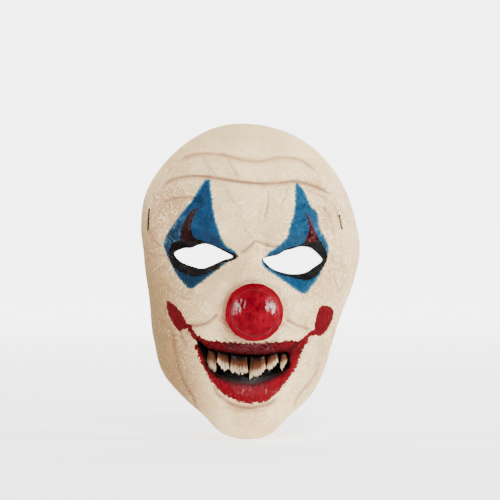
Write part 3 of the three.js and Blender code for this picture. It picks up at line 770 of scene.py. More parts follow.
# %% Paint outlines in pixels
PAINT = {
    "blue": [
        [(204, 180.8), (206.5, 179.2), (210, 180), (210.8, 188.4), (212.6, 201),
         (214.7, 216), (219, 230.5),
         (224, 243), (230.5, 248.4), (236, 252), (238, 257.5), (230.5, 261), (222, 266.3),
         (211.6, 274.7), (199, 284), (192, 289), (187, 287), (181, 281), (174.5, 271.5),
         (169.5, 262), (165.3, 252), (163.5, 243), (169, 230.5), (180, 214.7), (192, 199.5)],
        [(295.6, 184), (297.5, 182.8), (300.4, 185.5), (305.3, 193), (309.5, 203),
         (312.6, 207.5), (317, 211.5),
         (318.5, 218), (318.5, 225), (323.2, 234.7), (328.5, 245.3), (328, 255.8),
         (323.5, 267), (318.9, 276.8), (312.6, 285.3), (304.2, 294.3), (293.7, 288.4),
         (283.2, 281), (274.7, 274.9), (265, 268.5), (262, 262), (263.5, 258.3),
         (268.4, 252.6), (278.9, 245.6), (286.3, 237.5), (289.5, 226.3), (293.7, 213.7),
         (294.7, 205.3), (295, 190.5)],
    ],
    "black": [
        [(170, 247), (173, 242.5), (180, 240), (186, 237.5), (192.5, 236.5), (200, 240),
         (211, 244.5), (221, 248), (230, 252), (239, 256), (232, 260.5), (223, 263.5),
         (219, 268.4), (211, 272.3), (203.3, 275.5), (193.6, 277), (185.4, 274.5),
         (177.5, 270.4), (172.5, 265.8), (169, 257)],
        [(262.5, 258.3), (271, 255.8), (279, 252.8), (286, 249), (293, 247), (300, 245),
         (304.5, 242), (308, 238.5), (314, 238), (320, 241), (325.5, 249.5), (327.5, 257),
         (325, 265), (318.5, 274), (310, 279.5), (303, 280), (292, 277.5), (281, 274.5),
         (272, 270), (264.5, 264)],
    ],
    "horn": [
        [(199, 206.6), (196.2, 211.5), (193, 218.7), (191, 225.6), (192, 233.2),
         (194, 239.5), (187, 241), (180, 239.5), (181.3, 229.4), (184.4, 221.8),
         (190.5, 212)],
        [(304.7, 211.5), (307, 214), (310.5, 221.8), (313.5, 229.4), (316, 234.8),
         (318.5, 240), (312.5, 242), (306, 240.5), (308, 233.2), (308.8, 227.1),
         (307, 218.7)],
    ],
    "lips": [
        [(199, 336), (203, 338.6), (212, 340.3), (226.3, 341.8), (247.4, 343.2),
         (263, 342.6), (278.9, 341.2), (292, 340.6), (303.5, 342), (303, 349), (300, 357),
         (293.7, 371.6), (281, 388.4), (268.4, 400), (255.8, 402.9), (243.2, 402.3),
         (226.3, 395.8), (213.7, 384.2), (203.2, 367.4), (196.3, 351), (195.5, 345),
         (198, 340)],
    ],
    "blob": [
        [(166.6, 301.6), (170, 302), (176, 306.5), (181.5, 313), (185, 320), (188, 326.5),
         (186.5, 329), (184, 329), (180, 331.3), (176, 328), (171, 320), (167.5, 311)],
        [(186, 323), (191.5, 326), (194, 331), (197.5, 335.5), (201, 337.5), (199, 341.5),
         (193.5, 339.5), (190.5, 334), (187.2, 328.5)],
        [(322.2, 305.6), (328.4, 305.8), (332.7, 309), (333.6, 313), (332.7, 318.7),
         (329.3, 326.4), (325.5, 332), (319.8, 336.4), (316, 335.5), (312, 336),
         (308.8, 337.8), (308, 342.6), (302.5, 347), (296, 344.5), (297, 341.7),
         (301.6, 338.8), (305.4, 336), (309.2, 332), (314, 329.2), (315, 322.5),
         (317, 314), (319.5, 308)],
    ],
    # painted shadow in the corners of the mouth
    "corner_shadow": [
        [(197, 338.3), (201, 342.5), (206, 348.5), (209, 353), (209, 362), (206, 361),
         (203, 356.5), (200, 350.5), (197.5, 344)],
        [(285, 350), (291, 346.8), (297, 342), (300, 343), (295, 347.8), (289, 353)],
    ],
}
print("paint outlines:", ", ".join(PAINT))

# %% [markdown]
# ## Painted fields on the skin
# A material can't read an outline, but it can read a number that each vertex carries. So
# every vertex gets its signed distance to each coat's outline, and how deep it lies in a
# furrow or crease, for the brown there that is partly airbrush and partly painted shade. It
# also gets how much red reaches it round the nose, as overspray and as the ball's painted
# shadow. That red fades with the distance from the ball and lies on its left side alone.

# %% Fields as attributes
# the red left of the nose: overspray and the ball's painted shadow
SPRAY_SHADOW_REACH = 3.6
SPRAY_SHADOW_SIDE = (-12, 18)


def painted_distance(x, z, outlines):
    """The least signed distance to any of the outlines, each closed round on the skin."""
    shapes = [closed_curve(on_mask(outline)) for outline in outlines]
    return np.min([signed_distance(x, z, shape) for shape in shapes], axis=0)


def store(made, name, values):
    """Writes one number for each vertex as an attribute that a material can read."""
    made.data.attributes.new(name, "FLOAT", "POINT").data.foreach_set(
        "value", np.ascontiguousarray(values, dtype=np.float32))


def read_points(made):
    """The object's vertices as rows of x, y, z in millimetres."""
    co = np.empty(len(made.data.vertices) * 3)
    made.data.vertices.foreach_get("co", co)
    return co.reshape(-1, 3) / MM


x, _, z = read_points(skin).T
for name, outlines in PAINT.items():
    store(skin, name, painted_distance(x, z, outlines))
store(skin, "mouth", signed_distance(x, z, mouth_outline))
# furrow and crease depths, for brown that is partly airbrush and partly painted shade
furrows = {key: row for key, row in FOLDS.items() if row[1] < 0}
store(skin, "furrow", -fold_lift(x, z, furrows) / FOLD_HEIGHT)
store(skin, "crease", crease_brown_and_shade(x, z))
store(skin, "gum", gum_bell(x, z))
# red overspray and the ball's painted shadow, on the left of the nose
from_ball = np.maximum(np.hypot(x - NOSE_X, z - NOSE_Z) - NOSE_RADIUS, 0)
store(skin, "spray_and_shadow", bell(from_ball, SPRAY_SHADOW_REACH) * smooth_step(NOSE_X - x, *SPRAY_SHADOW_SIDE))
print("paint fields:", ", ".join(a.name for a in skin.data.attributes if a.domain == "POINT"))

# %% [markdown]
# ## Materials from nodes
# Each finish is a small net of nodes over the piece's own coordinates. A few helpers keep
# the nets short. The first adds a node and links it, and the others are that one with a
# node's settings filled in: a blend of two colours, a sum, a ramp, a noise, a field.

# %% Node helpers
def colour(red, green, blue):
    """A colour as a paint chart gives it, turned into linear light."""
    share = np.array([red, green, blue]) / 255
    linear = np.where(share < 0.04045, share / 12.92, ((share + 0.055) / 1.055) ** 2.4)
    return (*linear.tolist(), 1.0)


def add(tree, kind, inputs=None, output=0, **fields):
    """Adds a node, sets its fields and inputs, links those that are sockets."""
    made = tree.nodes.new(kind)
    for key, value in fields.items():
        setattr(made, key, value)
    for key, value in (inputs or {}).items():
        if isinstance(value, bpy.types.NodeSocket):
            tree.links.new(value, made.inputs[key])
        else:
            made.inputs[key].default_value = value
    return made.outputs[output]


def mix(tree, factor, first, second):
    """The first colour at 0, the second at 1, and their blend between."""
    return add(tree, "ShaderNodeMix", {0: factor, 6: first, 7: second}, output=2,
               data_type="RGBA", blend_type="MIX")


def layers(tree, tone, coats):
    """Lays each coat's colour over the last one's, by the coat's amount from 0 to 1."""
    for amount, coat in coats:
        tone = mix(tree, amount, tone, coat)
    return tone


def maths(tree, operation, first, second=0.0):
    """One sum on two values."""
    return add(tree, "ShaderNodeMath", {0: first, 1: second}, operation=operation)


def times(tree, first, second):
    """The product of two values."""
    return maths(tree, "MULTIPLY", first, second)


def distance_from(tree, value, middle):
    """How far a value is from the middle one, on either side."""
    return maths(tree, "ABSOLUTE", maths(tree, "SUBTRACT", value, middle))


def ramp(tree, value, low, high, start=0.0, end=1.0):
    """The start below low, the end above high, and 3t^2 - 2t^3 of the way between them."""
    return add(tree, "ShaderNodeMapRange", {"Value": value, "From Min": low, "From Max": high,
                                            "To Min": start, "To Max": end},
               interpolation_type="SMOOTHSTEP")


def object_place(tree, stretch=(1.0, 1.0, 1.0)):
    """The place on the object in metres, each direction times its stretch."""
    where = add(tree, "ShaderNodeTexCoord", output="Object")
    return add(tree, "ShaderNodeMapping", {"Vector": where, "Scale": stretch})


def noise(tree, where, size_mm, detail=2.0, roughness=0.5):
    """Noise whose grains are about the given size."""
    return add(tree, "ShaderNodeTexNoise", {"Vector": where, "Scale": 1000 / size_mm,
                                            "Detail": detail, "Roughness": roughness})


def field(tree, name):
    """The number that each vertex carries under this name."""
    return add(tree, "ShaderNodeAttribute", output="Fac", attribute_name=name)


def new_material(name):
    """A material with its tree and its main shader, made if there is none of that name."""
    made = bpy.data.materials.get(name) or bpy.data.materials.new(name)
    made.use_nodes = True
    return made, made.node_tree, made.node_tree.nodes["Principled BSDF"]


print("black paint in linear light:", [round(v, 4) for v in colour(5, 5, 6)[:3]])

# %% [markdown]
# ## Two brushes
# Two more helpers stand for two ways of marking the skin. A thin line is drawn where a
# stretched noise crosses its middle value, which gives long wandering hairlines. A coat's
# edge is the signed distance moved to and fro by a noise, as a nearly dry brush leaves it.

# %% Lines and ragged edges
def thin_lines(tree, where, turn, size_mm, width):
    """Lines where a noise, turned in the plane of the face and drawn long, crosses its
    middle value: 1 on the line, 0 beside it."""
    slanted = add(tree, "ShaderNodeMapping", {"Vector": where, "Rotation": (0.0, turn, 0.0)})
    drawn = add(tree, "ShaderNodeMapping", {"Vector": slanted, "Scale": (0.35, 1.0, 1.0)})
    return ramp(tree, distance_from(tree, noise(tree, drawn, size_mm), 0.5), 0.0, width, 1.0, 0.0)


def paint_mask(tree, name, ragged, jag_mm, soft_mm):
    """1 inside the painted field, with its edge moved by a noise of the given height."""
    shift = times(tree, maths(tree, "SUBTRACT", ragged, 0.5), 2 * jag_mm)
    edge = maths(tree, "ADD", field(tree, name), shift)
    return ramp(tree, edge, -soft_mm, soft_mm, 1.0, 0.0)


# %% [markdown]
# ## Painted latex: places and noises
# Cream latex is tinted first all over, and brown goes into the furrows, partly as the maker's
# airbrush and partly as painted shade. The make-up goes on top: blue round the eyes, black at
# the lids, dark red horns and lips, and the closed mouth black. Many coats share the same few
# noises, so those come first: broad clouds, blotches, grain, ragged edges and upright streaks.

# %% Places and noises
_, tree, shader = new_material("skin_paint")
where = object_place(tree)
across = add(tree, "ShaderNodeSeparateXYZ", {0: where})
upward = across.node.outputs[2]
sideways = distance_from(tree, across, 0.0)
broad = noise(tree, where, 26, 3.0)
blotch = noise(tree, where, 7, 4.0, 0.6)
grain = noise(tree, where, 1.5, 4.0, 0.65)
ragged = ramp(tree, noise(tree, where, 1.9, 3.0, 0.6), 0.36, 0.64)
streaks = noise(tree, object_place(tree, (1.0, 1.0, 0.25)), 2.2, 4.0, 0.7)
print("places and noises:", len(tree.nodes), "nodes")

# %% [markdown]
# ## Painted latex: fine wrinkles
# The clay was combed before it was cast, so hairlines run all over, slanted one way or the
# other from place to place. They are weaker on the forehead and stronger at the sides.

# %% Fine wrinkles
WRINKLE_MM = 2.6
WRINKLE_WIDTH = 0.13
slant = ramp(tree, noise(tree, where, 14, 1.0), 0.42, 0.58)
lines = add(tree, "ShaderNodeMix", {
    0: slant, 2: thin_lines(tree, where, 0.65, WRINKLE_MM, WRINKLE_WIDTH),
    3: thin_lines(tree, where, -0.8, WRINKLE_MM, WRINKLE_WIDTH)})
lines = times(tree, lines, ramp(tree, upward, 0.035, 0.08, 1.0, 0.35))
lines = times(tree, lines, ramp(tree, sideways, 0.02, 0.055, 1.0, 2.0))
print("with the wrinkles:", len(tree.nodes), "nodes")

# %% [markdown]
# ## Painted latex: cream, airbrush and painted shade
# The cream is never even. Its blotches are a little browner, and the hairlines are painted
# browner as shade in them. The left side and the lower left cheek are a dull tan, partly the
# maker's airbrush and partly painted shade. Brown goes into the furrows and creases, partly
# airbrush and partly painted shade, and red goes on to the cheek beside the nose, as
# overspray and as the ball's painted shadow.

# %% Cream, painted shade and airbrush
# painted shade in the hairlines, stronger on the left
hairline_shade = times(tree, lines, ramp(tree, broad, 0.3, 0.6, 0.12, 0.3))
hairline_shade = times(tree, hairline_shade, ramp(tree, across, -0.06, -0.02, 1.8, 1.0))
# the left side: a dull tan, partly airbrush and partly painted shade
left_side = times(tree, ramp(tree, across, -0.078, -0.005, 1.0, 0.0),
                  ramp(tree, upward, -0.03, 0.03, 1.0, 0.45))
left_tan_and_shade = times(tree, left_side, ramp(tree, grain, 0.3, 0.65, 0.9, 0.35))
# towards the lower left: a darker tan, partly airbrush and partly painted shade
low_left = maths(tree, "ADD", across, times(tree, upward, 0.3))
# furrows: brown, partly airbrush and partly painted shade
furrow = times(tree, field(tree, "furrow"), ramp(tree, blotch, 0.2, 0.6, 0.3, 1.0))
cream = mix(tree, ramp(tree, broad, 0.35, 0.65), colour(248, 217, 164), colour(239, 205, 150))
painted = layers(tree, cream, [
    (hairline_shade, colour(188, 142, 98)),
    (ramp(tree, blotch, 0.5, 0.8, 0.0, 0.4), colour(200, 156, 106)),
    (ramp(tree, grain, 0.46, 0.3, 0.0, 0.35), colour(184, 138, 92)),
    (left_tan_and_shade, colour(178, 136, 86)),
    (ramp(tree, low_left, -0.05, -0.08, 0.0, 0.85), colour(132, 100, 50)),
    (ramp(tree, furrow, 0.1, 1.0, 0.0, 0.3), colour(176, 124, 88)),
    # creases: brown, partly airbrush and partly painted shade
    (ramp(tree, field(tree, "crease"), 0.15, 1.0, 0.0, 0.62), colour(156, 106, 86)),
    # red overspray and the ball's painted shadow beside the nose
    (times(tree, field(tree, "spray_and_shadow"), 0.75), colour(132, 60, 52)),
])
print("with the cream:", len(tree.nodes), "nodes")

# %% [markdown]
# ## Painted latex: blue round the eyes
# The blue is brushed thin, deeper on the left, lighter towards its edge, rubbed in places
# and dark at the outer left and under the left eye. A dry brush left pale strokes on the
# outer side of both eyes.

# %% Blue round the eyes
blue_deep = mix(tree, ramp(tree, blotch, 0.35, 0.65), colour(6, 40, 74), colour(8, 54, 90))
under_eye = times(tree, ramp(tree, upward, -0.004, -0.016, 0.0, 0.6),
                  ramp(tree, across, 0.0, -0.02))
dry_brush = times(tree, ramp(tree, sideways, 0.042, 0.052),
                  times(tree, ramp(tree, upward, 0.0, 0.012),
                        ramp(tree, blotch, 0.42, 0.6, 0.0, 0.5)))
blue_tone = layers(tree, blue_deep, [
    (ramp(tree, across, 0.0, 0.03), colour(6, 62, 94)),
    (ramp(tree, field(tree, "blue"), -2.2, -0.2), colour(10, 94, 122)),
    (ramp(tree, grain, 0.4, 0.75, 0.0, 0.35), colour(16, 70, 98)),
    (ramp(tree, across, -0.045, -0.056, 0.0, 0.65), colour(8, 34, 52)),
    (under_eye, colour(8, 30, 46)),
    (times(tree, dry_brush, thin_lines(tree, where, 0.9, WRINKLE_MM, 0.075)),
     colour(112, 160, 186)),
])
blue = paint_mask(tree, "blue", ragged, 0.4, 0.7)
print("with the blue:", len(tree.nodes), "nodes")

# %% [markdown]
# ## Painted latex: lips and cheeks
# The lips are two reds in upright streaks. They are painted nearly black as shade where they
# turn into the mouth, and the upper lip is painted darker as the shadow under the nose. A
# painted highlight lies in a few streaks along the fullest part of the lower one. The blobs
# at the ends of the smile are the same red, painted a little darker on the left as shade.

# %% Lips and cheek blobs
LOWER_LIP_UP = -0.0938
glint = times(tree, ramp(tree, distance_from(tree, upward, LOWER_LIP_UP), 0.0035, 0.001),
              ramp(tree, streaks, 0.56, 0.66, 0.0, 0.45))
lip_red = mix(tree, ramp(tree, streaks, 0.42, 0.7), colour(116, 4, 18), colour(80, 4, 13))
lip_tone = layers(tree, lip_red, [
    # painted shade where the lips turn into the mouth
    (ramp(tree, field(tree, "mouth"), 3.2, 0.4, 0.0, 0.75), colour(46, 5, 8)),
    # painted shadow under the nose on the upper lip
    (ramp(tree, upward, -0.073, -0.066, 0.0, 0.6), colour(62, 4, 8)),
    # painted highlight along the lower lip
    (glint, colour(196, 112, 116)),
])
lips = paint_mask(tree, "lips", ragged, 0.8, 0.2)
blob_red = mix(tree, ramp(tree, grain, 0.35, 0.75), colour(104, 4, 17), colour(80, 5, 13))
# painted shade on the left blob, on the darker left side
blob_tone = mix(tree, ramp(tree, across, -0.03, 0.03, 0.3, 0.0), blob_red, colour(66, 5, 10))
blob = paint_mask(tree, "blob", ragged, 0.35, 0.25)
print("with the reds:", len(tree.nodes), "nodes")

# %% [markdown]
# ## Painted latex: black, horns and mouth
# The black at the lids is one flat coat. The horns over it are a very dark red, redder on
# the right, with painted highlights along their middle. The mouth is black, with a painted
# grey highlight along its gum and painted shadow at its corners, black on the left and dark
# red on the right.

# %% Black, horns and mouth
black = paint_mask(tree, "black", ragged, 0.4, 0.35)
horn_dark = mix(tree, ramp(tree, streaks, 0.4, 0.65), colour(14, 3, 4), colour(44, 5, 7))
horn_red = times(tree, ramp(tree, across, 0.0, 0.03, 0.0, 0.8),
                 ramp(tree, streaks, 0.38, 0.6, 0.25, 1.0))
# painted highlights along the middle of the horns
horn_glint = times(tree, ramp(tree, streaks, 0.6, 0.68, 0.0, 0.6),
                   ramp(tree, field(tree, "horn"), -1.4, -0.4, 0.0, 1.0))
horn_tone = layers(tree, horn_dark, [(horn_red, colour(88, 6, 16)),
                                     (horn_glint, colour(178, 128, 124))])
horn = paint_mask(tree, "horn", ragged, 0.15, 0.3)
# painted grey highlight along the gum
gum = times(tree, field(tree, "gum"), ramp(tree, streaks, 0.3, 0.6, 0.2, 0.8))
mouth_tone = mix(tree, gum, colour(5, 5, 6), colour(72, 68, 66))
mouth = ramp(tree, field(tree, "mouth"), -1.6, 0.2, 1.0, 0.0)
# painted shadow in the mouth's corners, black on the left and dark red on the right
corner_shadow_tone = mix(tree, ramp(tree, across, 0.0, 0.01), colour(8, 5, 6), colour(60, 5, 11))
corner_shadow = paint_mask(tree, "corner_shadow", ragged, 0.2, 0.8)
painted = layers(tree, painted, [
    (blue, blue_tone), (lips, lip_tone), (blob, blob_tone), (black, colour(5, 5, 6)),
    (horn, horn_tone), (mouth, mouth_tone), (corner_shadow, corner_shadow_tone),
])
tree.links.new(painted, shader.inputs["Base Color"])
print("with all coats:", len(tree.nodes), "nodes")

# %% [markdown]
# ## Painted latex: gloss and relief
# Each coat has its own gloss, from chalky cream to wet black, so the same masks that laid
# the colours choose the roughness and the strength of the reflection. The relief is a tilt
# of the shading alone: blotches and grain stand up, hairlines go in, and the lips have
# upright lines.

# %% Gloss and relief
RELIEF_HIGH = 0.0022
gloss = ramp(tree, grain, 0.3, 0.7, 0.6, 0.75)
shine = 0.25
# each coat's mask, roughness and reflection
for coat, rough, level in ((blue, 0.45, 0.18), (lips, 0.25, 0.14), (blob, 0.5, 0.05),
                           (black, 0.16, 0.5), (horn, 0.12, 0.5), (mouth, 0.2, 0.4)):
    gloss = add(tree, "ShaderNodeMix", {0: coat, 2: gloss, 3: rough})
    shine = add(tree, "ShaderNodeMix", {0: coat, 2: shine, 3: level})
tree.links.new(gloss, shader.inputs["Roughness"])
tree.links.new(shine, shader.inputs["Specular IOR Level"])


def bumps(tree, shader, height, high, strength=1.0):
    """Tilts the shading as if the surface rose by the height times the given metres."""
    bump = add(tree, "ShaderNodeBump", {"Strength": strength, "Distance": high,
                                        "Height": height})
    tree.links.new(bump, shader.inputs["Normal"])


height = maths(tree, "SUBTRACT", times(tree, blotch, 0.7), times(tree, lines, 0.36))
height = maths(tree, "ADD", height, times(tree, grain, 0.5))
height = maths(tree, "ADD", height, times(tree, times(tree, streaks, lips), 1.2))
bumps(tree, shader, height, RELIEF_HIGH)


def plain_finish(name, tone, rough):
    """A material of one colour and one roughness."""
    made, _, shader = new_material(name)
    shader.inputs["Base Color"].default_value = tone
    shader.inputs["Roughness"].default_value = rough
    return made


plain_finish("skin_inside", colour(222, 184, 138), 0.6)
plain_finish("skin_edge", colour(8, 7, 8), 0.5)
print("skin finishes:", [m.name for m in skin.data.materials])

# %% [markdown]
# ## The nose
# The nose is a thin ball, open at the back where its neck goes through the hole. Turning a
# profile round an axis gives it: the outer arc, the neck, the rim of the neck, and the inner
# arc back to the axis. The real one was cast from pebbled clay, so hundreds of low bumps
# are added to the front. They break the lamps' reflections up, as they do on the real nose.

# %% Turned forms
def arc(radius, mouth, middle, count):
    """From the front pole of a circle back to where its half width is the mouth's."""
    turn = np.linspace(0, np.pi - math.asin(mouth / radius), count)
    return np.stack([radius * np.sin(turn), -middle - radius * np.cos(turn)], -1)


def turned(profile, sides, centre):
    """Turns rows of half width and depth round the axis through the centre. The first and
    last rows lie on the axis, and each is one point."""
    around = np.linspace(0, 2 * np.pi, sides, endpoint=False)
    ring = profile[1:-1]
    x = centre[0] + ring[:, :1] * np.cos(around)
    z = centre[2] + ring[:, :1] * np.sin(around)
    y = centre[1] + np.repeat(ring[:, 1:], sides, axis=1)
    points = np.stack([x, y, z], -1).reshape(-1, 3)
    poles = centre + np.array([[0, profile[0, 1], 0], [0, profile[-1, 1], 0]])
    faces = grid_faces(len(ring), sides, close_columns=True)
    first = len(points)
    near = np.arange(sides)
    after = (near + 1) % sides
    far = (len(ring) - 1) * sides
    caps = [(first, a, b) for a, b in zip(near, after)]
    caps += [(first + 1, far + b, far + a) for a, b in zip(near, after)]
    return np.vstack([points, poles]), faces.tolist() + caps


NOSE_WALL = 2.0
NECK_REACH = 2.0
NOSE_SIDES = 240
OUTER_ARC = 120
INNER_ARC = 30
nose_centre = np.array([NOSE_X, SEAT_SHIFT - NOSE_SEAT_FORWARD, NOSE_Z])
ball_middle = math.sqrt(NOSE_RADIUS ** 2 - NECK_RADIUS ** 2) + NOSE_CLEARANCE
back = LATEX_WALL + NECK_REACH
profile = np.vstack([
    arc(NOSE_RADIUS, NECK_RADIUS, ball_middle, OUTER_ARC),
    [(NECK_RADIUS, back), (NECK_RADIUS - NOSE_WALL, back)],
    arc(NOSE_RADIUS - NOSE_WALL, NECK_RADIUS - NOSE_WALL, ball_middle, INNER_ARC)[::-1],
])
profile[0, 0] = profile[-1, 0] = 0.0
nose_points, nose_faces = turned(profile, NOSE_SIDES, nose_centre)
print("nose profile of", len(profile), "places, turned to", len(nose_points), "points")

# %% [markdown]
# ## Pebbles on the nose
# Each pebble is a bell round a random spot of the ball, up or down. Only the outer front is
# moved: the part near the seat, the neck and the inside stay as the plain ball has them.

# %% Pebble and build the nose
PEBBLES = 900
PEBBLE_LIFT = 0.25
PEBBLE_HALF = (0.8, 1.6)
PEBBLE_STRETCH = np.array([1.0, 1.0, 0.45])
PEBBLE_START = (0.4, 3.0)
DULL_EDGE = (0.66, 0.92)


def pebbles(places, random):
    """For each place, the sum over random spots of the ball of sign * exp(-(gap / half)^2),
    with the gap up and down counted as less, which draws the pebbles upright."""
    spots = random.normal(0, 1, (PEBBLES, 3))
    spots *= NOSE_RADIUS / np.linalg.norm(spots, axis=1, keepdims=True)
    half = random.uniform(*PEBBLE_HALF, PEBBLES)
    lift = random.uniform(-1.0, 1.0, PEBBLES)
    a = (places * PEBBLE_STRETCH).astype(np.float32)
    b = (spots * PEBBLE_STRETCH).astype(np.float32)
    gap = (a * a).sum(1)[:, None] + (b * b).sum(1)[None, :] - 2 * a @ b.T
    return np.exp(-gap / (half * half)[None, :]) @ lift


from_middle = nose_points - nose_centre + (0, ball_middle, 0)
reach = np.linalg.norm(from_middle, axis=1)
is_front = smooth_step(nose_centre[1] - nose_points[:, 1], *PEBBLE_START)
is_front *= reach > NOSE_RADIUS - NOSE_WALL / 4
lump = is_front * pebbles(from_middle, np.random.default_rng(11))
out_way = from_middle / (reach[:, None] + 1e-9)
nose_points = nose_points + out_way * (PEBBLE_LIFT * lump)[:, None]
nose = make_mesh("nose_ball", nose_points, nose_faces)
face_outwards(nose)
store(nose, "lump", lump)
off_axis = np.hypot(nose_points[:, 0] - NOSE_X, nose_points[:, 2] - NOSE_Z) / NOSE_RADIUS
store(nose, "dull", smooth_step(off_axis, *DULL_EDGE))
print("nose from", [round(v, 1) for v in nose_points.min(0)],
      "to", [round(v, 1) for v in nose_points.max(0)])

# %% [markdown]
# ## The nose's red
# The red is mottled and specked, and darker in the hollows between the pebbles. It is
# glossy in front. Towards its edge the gloss falls off, or the pale cheeks would show there
# as a bright ring and make the ball look smaller.

# %% Paint the nose
nose_red, tree, shader = new_material("nose_red")
where = object_place(tree)
mottle = noise(tree, where, 5, 4.0, 0.6)
specks = noise(tree, where, 1.4, 3.0, 0.6)
red = mix(tree, ramp(tree, mottle, 0.35, 0.7), colour(112, 8, 22), colour(88, 6, 17))
red = layers(tree, red, [
    (ramp(tree, specks, 0.6, 0.72, 0.0, 0.6), colour(44, 3, 6)),
    # darker in the hollows between the pebbles
    (ramp(tree, field(tree, "lump"), -0.2, -1.1, 0.0, 0.7), colour(66, 3, 8)),
])
dull = field(tree, "dull")
tree.links.new(red, shader.inputs["Base Color"])
tree.links.new(ramp(tree, dull, 0.0, 1.0, 0.1, 0.6), shader.inputs["Roughness"])
tree.links.new(ramp(tree, dull, 0.0, 1.0, 0.4, 0.0), shader.inputs["Specular IOR Level"])
bumps(tree, shader, maths(tree, "ADD", mottle, times(tree, specks, 0.7)), 0.0004)
nose.data.materials.append(nose_red)
print("nose red:", len(tree.nodes), "nodes")

# %% [markdown]
# ## The teeth
# The teeth are raised from the floor of the mouth. Each one is a pillow: a section that goes
# down its back, round its tip and up its front, drawn from one side to the other, thin at
# both sides and full between. It narrows towards its root, and random spikes fray its tip.

# %% The form of a tooth
# left, right, how far down each side of the tip comes, and the rise of its corners in mm
TEETH = [
    (-0.377, -0.295, -0.346, -0.366, 3.0), (-0.291, -0.181, -0.338, -0.357, 1.4),
    (-0.177, -0.018, -0.354, -0.366, 1.0), (-0.011, 0.136, -0.381, -0.355, 1.0),
    (0.141, 0.246, -0.355, -0.333, 1.4), (0.262, 0.328, -0.364, -0.330, 3.0),
]
TOOTH_THICKNESS = 4.2
TOOTH_EDGE = 0.8
TOOTH_THINNING = 0.8
TOOTH_NARROWING = 0.16
TOOTH_TOP_GAP = 1.0
TOOTH_SEAT = 0.6
TOOTH_COLUMNS = 61
TOOTH_SECTION = 34
SPIKE_COLUMNS = 4
SPIKE_HEIGHT = 1.7
upper_edge = from_shares(MOUTH[:6])
mouth_top = smooth_table(upper_edge[:, 0], upper_edge[:, 1])
chance = np.random.default_rng(7)


def tooth(left, right, down_left, down_right, corner_rise):
    """A closed grid. Down the back the height falls evenly; up the front the thickness is
    full in the middle and falls off as a circle's does towards the sides, tip and top."""
    share = np.linspace(0, 1, TOOTH_COLUMNS)[:, None]
    side = np.abs(2 * share - 1)
    x = (left + (right - left) * share) * FACE_HALF_WIDTH
    top = mouth_top(x) - TOOTH_TOP_GAP
    spikes = chance.uniform(-1.0, 1.0, TOOTH_COLUMNS // SPIKE_COLUMNS)
    places = np.linspace(0, len(spikes) - 1, TOOTH_COLUMNS)
    uneven = SPIKE_HEIGHT * np.interp(places, np.arange(len(spikes)), spikes)
    tip = ((down_left + (down_right - down_left) * share) * FACE_HEIGHT
           + corner_rise * side ** 4 + uneven[:, None])
    half = TOOTH_SECTION // 2
    down = np.concatenate([np.linspace(0, 1, half), np.linspace(1, 0, half)])[None, :]
    is_front = (np.arange(2 * half) >= half)[None, :]
    full = TOOTH_THICKNESS * np.sqrt(1 - TOOTH_THINNING * side ** 4)
    bow = np.sqrt(1 - (2 * down - 1) ** 6)
    forward = is_front * (TOOTH_EDGE + (full - TOOTH_EDGE) * bow)
    z = top + (tip - top) * down
    middle = (left + right) / 2 * FACE_HALF_WIDTH
    x = middle + (x - middle) * (1 - TOOTH_NARROWING * (1 - down))
    return np.stack([x, mouth_floor(x, z) - TOOTH_SEAT - forward, z], -1), down + 0 * x


print("longest tooth", round(-FACE_HEIGHT * min(min(row[2:4]) for row in TEETH)), "mm down")

# %% [markdown]
# ## Building the teeth
# A tooth's grid is closed round its section, and one face shuts it at each side. The shares
# of the way down are kept as an attribute, because the paint changes from root to tip.

# %% Build the teeth
tooth_points = []
tooth_faces = []
tooth_down = []
start = 0
for row in TEETH:
    grid, down = tooth(*row)
    count = grid.shape[1]
    last = start + (grid.shape[0] - 1) * count
    tooth_faces += (grid_faces(*grid.shape[:2], close_columns=True) + start).tolist()
    tooth_faces.append(list(range(start, start + count)))
    tooth_faces.append(list(range(last + count - 1, last - 1, -1)))
    tooth_points.append(grid.reshape(-1, 3))
    tooth_down.append(down.reshape(-1))
    start += down.size
teeth = make_mesh("teeth", np.vstack(tooth_points), tooth_faces)
face_outwards(teeth)
store(teeth, "down", np.concatenate(tooth_down))
print("teeth", len(TEETH), "volume", round(volume_of(teeth) * 1e6, 2), "cm3")

# %% [markdown]
# ## The teeth's paint
# They were painted nearly black, then brown, and then brushed with off-white while the brush
# was almost dry, so that the white only takes towards the tips. The near black and brown
# towards the root also stand for painted shade under the upper lip. Upright streaks shift
# both borders, and the outer teeth are a little whiter.

# %% Paint the teeth
tooth_paint, tree, shader = new_material("tooth_paint")
sideways = distance_from(tree, add(tree, "ShaderNodeSeparateXYZ", {0: object_place(tree)}), 0.0)
streaks = noise(tree, object_place(tree, (1.0, 1.0, 0.18)), 1.6, 4.0, 0.7)
level = maths(tree, "ADD", field(tree, "down"), times(tree, streaks, 0.7))
level = maths(tree, "ADD", level, ramp(tree, sideways, 0.010, 0.020, 0.0, 0.1))
ivory = mix(tree, ramp(tree, streaks, 0.45, 0.7), colour(232, 208, 168), colour(116, 82, 52))
# near black and brown at the root: under-paint and painted shade under the upper lip
base = layers(tree, colour(5, 4, 4), [(ramp(tree, level, 0.42, 0.92), colour(80, 41, 20)),
                                      (ramp(tree, level, 0.86, 1.42), ivory)])
tree.links.new(base, shader.inputs["Base Color"])
shader.inputs["Roughness"].default_value = 0.35
shader.inputs["Specular IOR Level"].default_value = 0.12
bumps(tree, shader, streaks, 0.0006, strength=0.5)
teeth.data.materials.append(tooth_paint)
print("tooth paint:", len(tree.nodes), "nodes")

# %% [markdown]
# ## The elastic's path
# A flat woven band runs from inside one side of the mask, along its wall to the rim and
# round the back of the head. Its path is a row of places seen from above. Where it lies
# against the wall, those places are looked for: the wall's inner side is found at several
# heights of the band, and the inmost one decides.

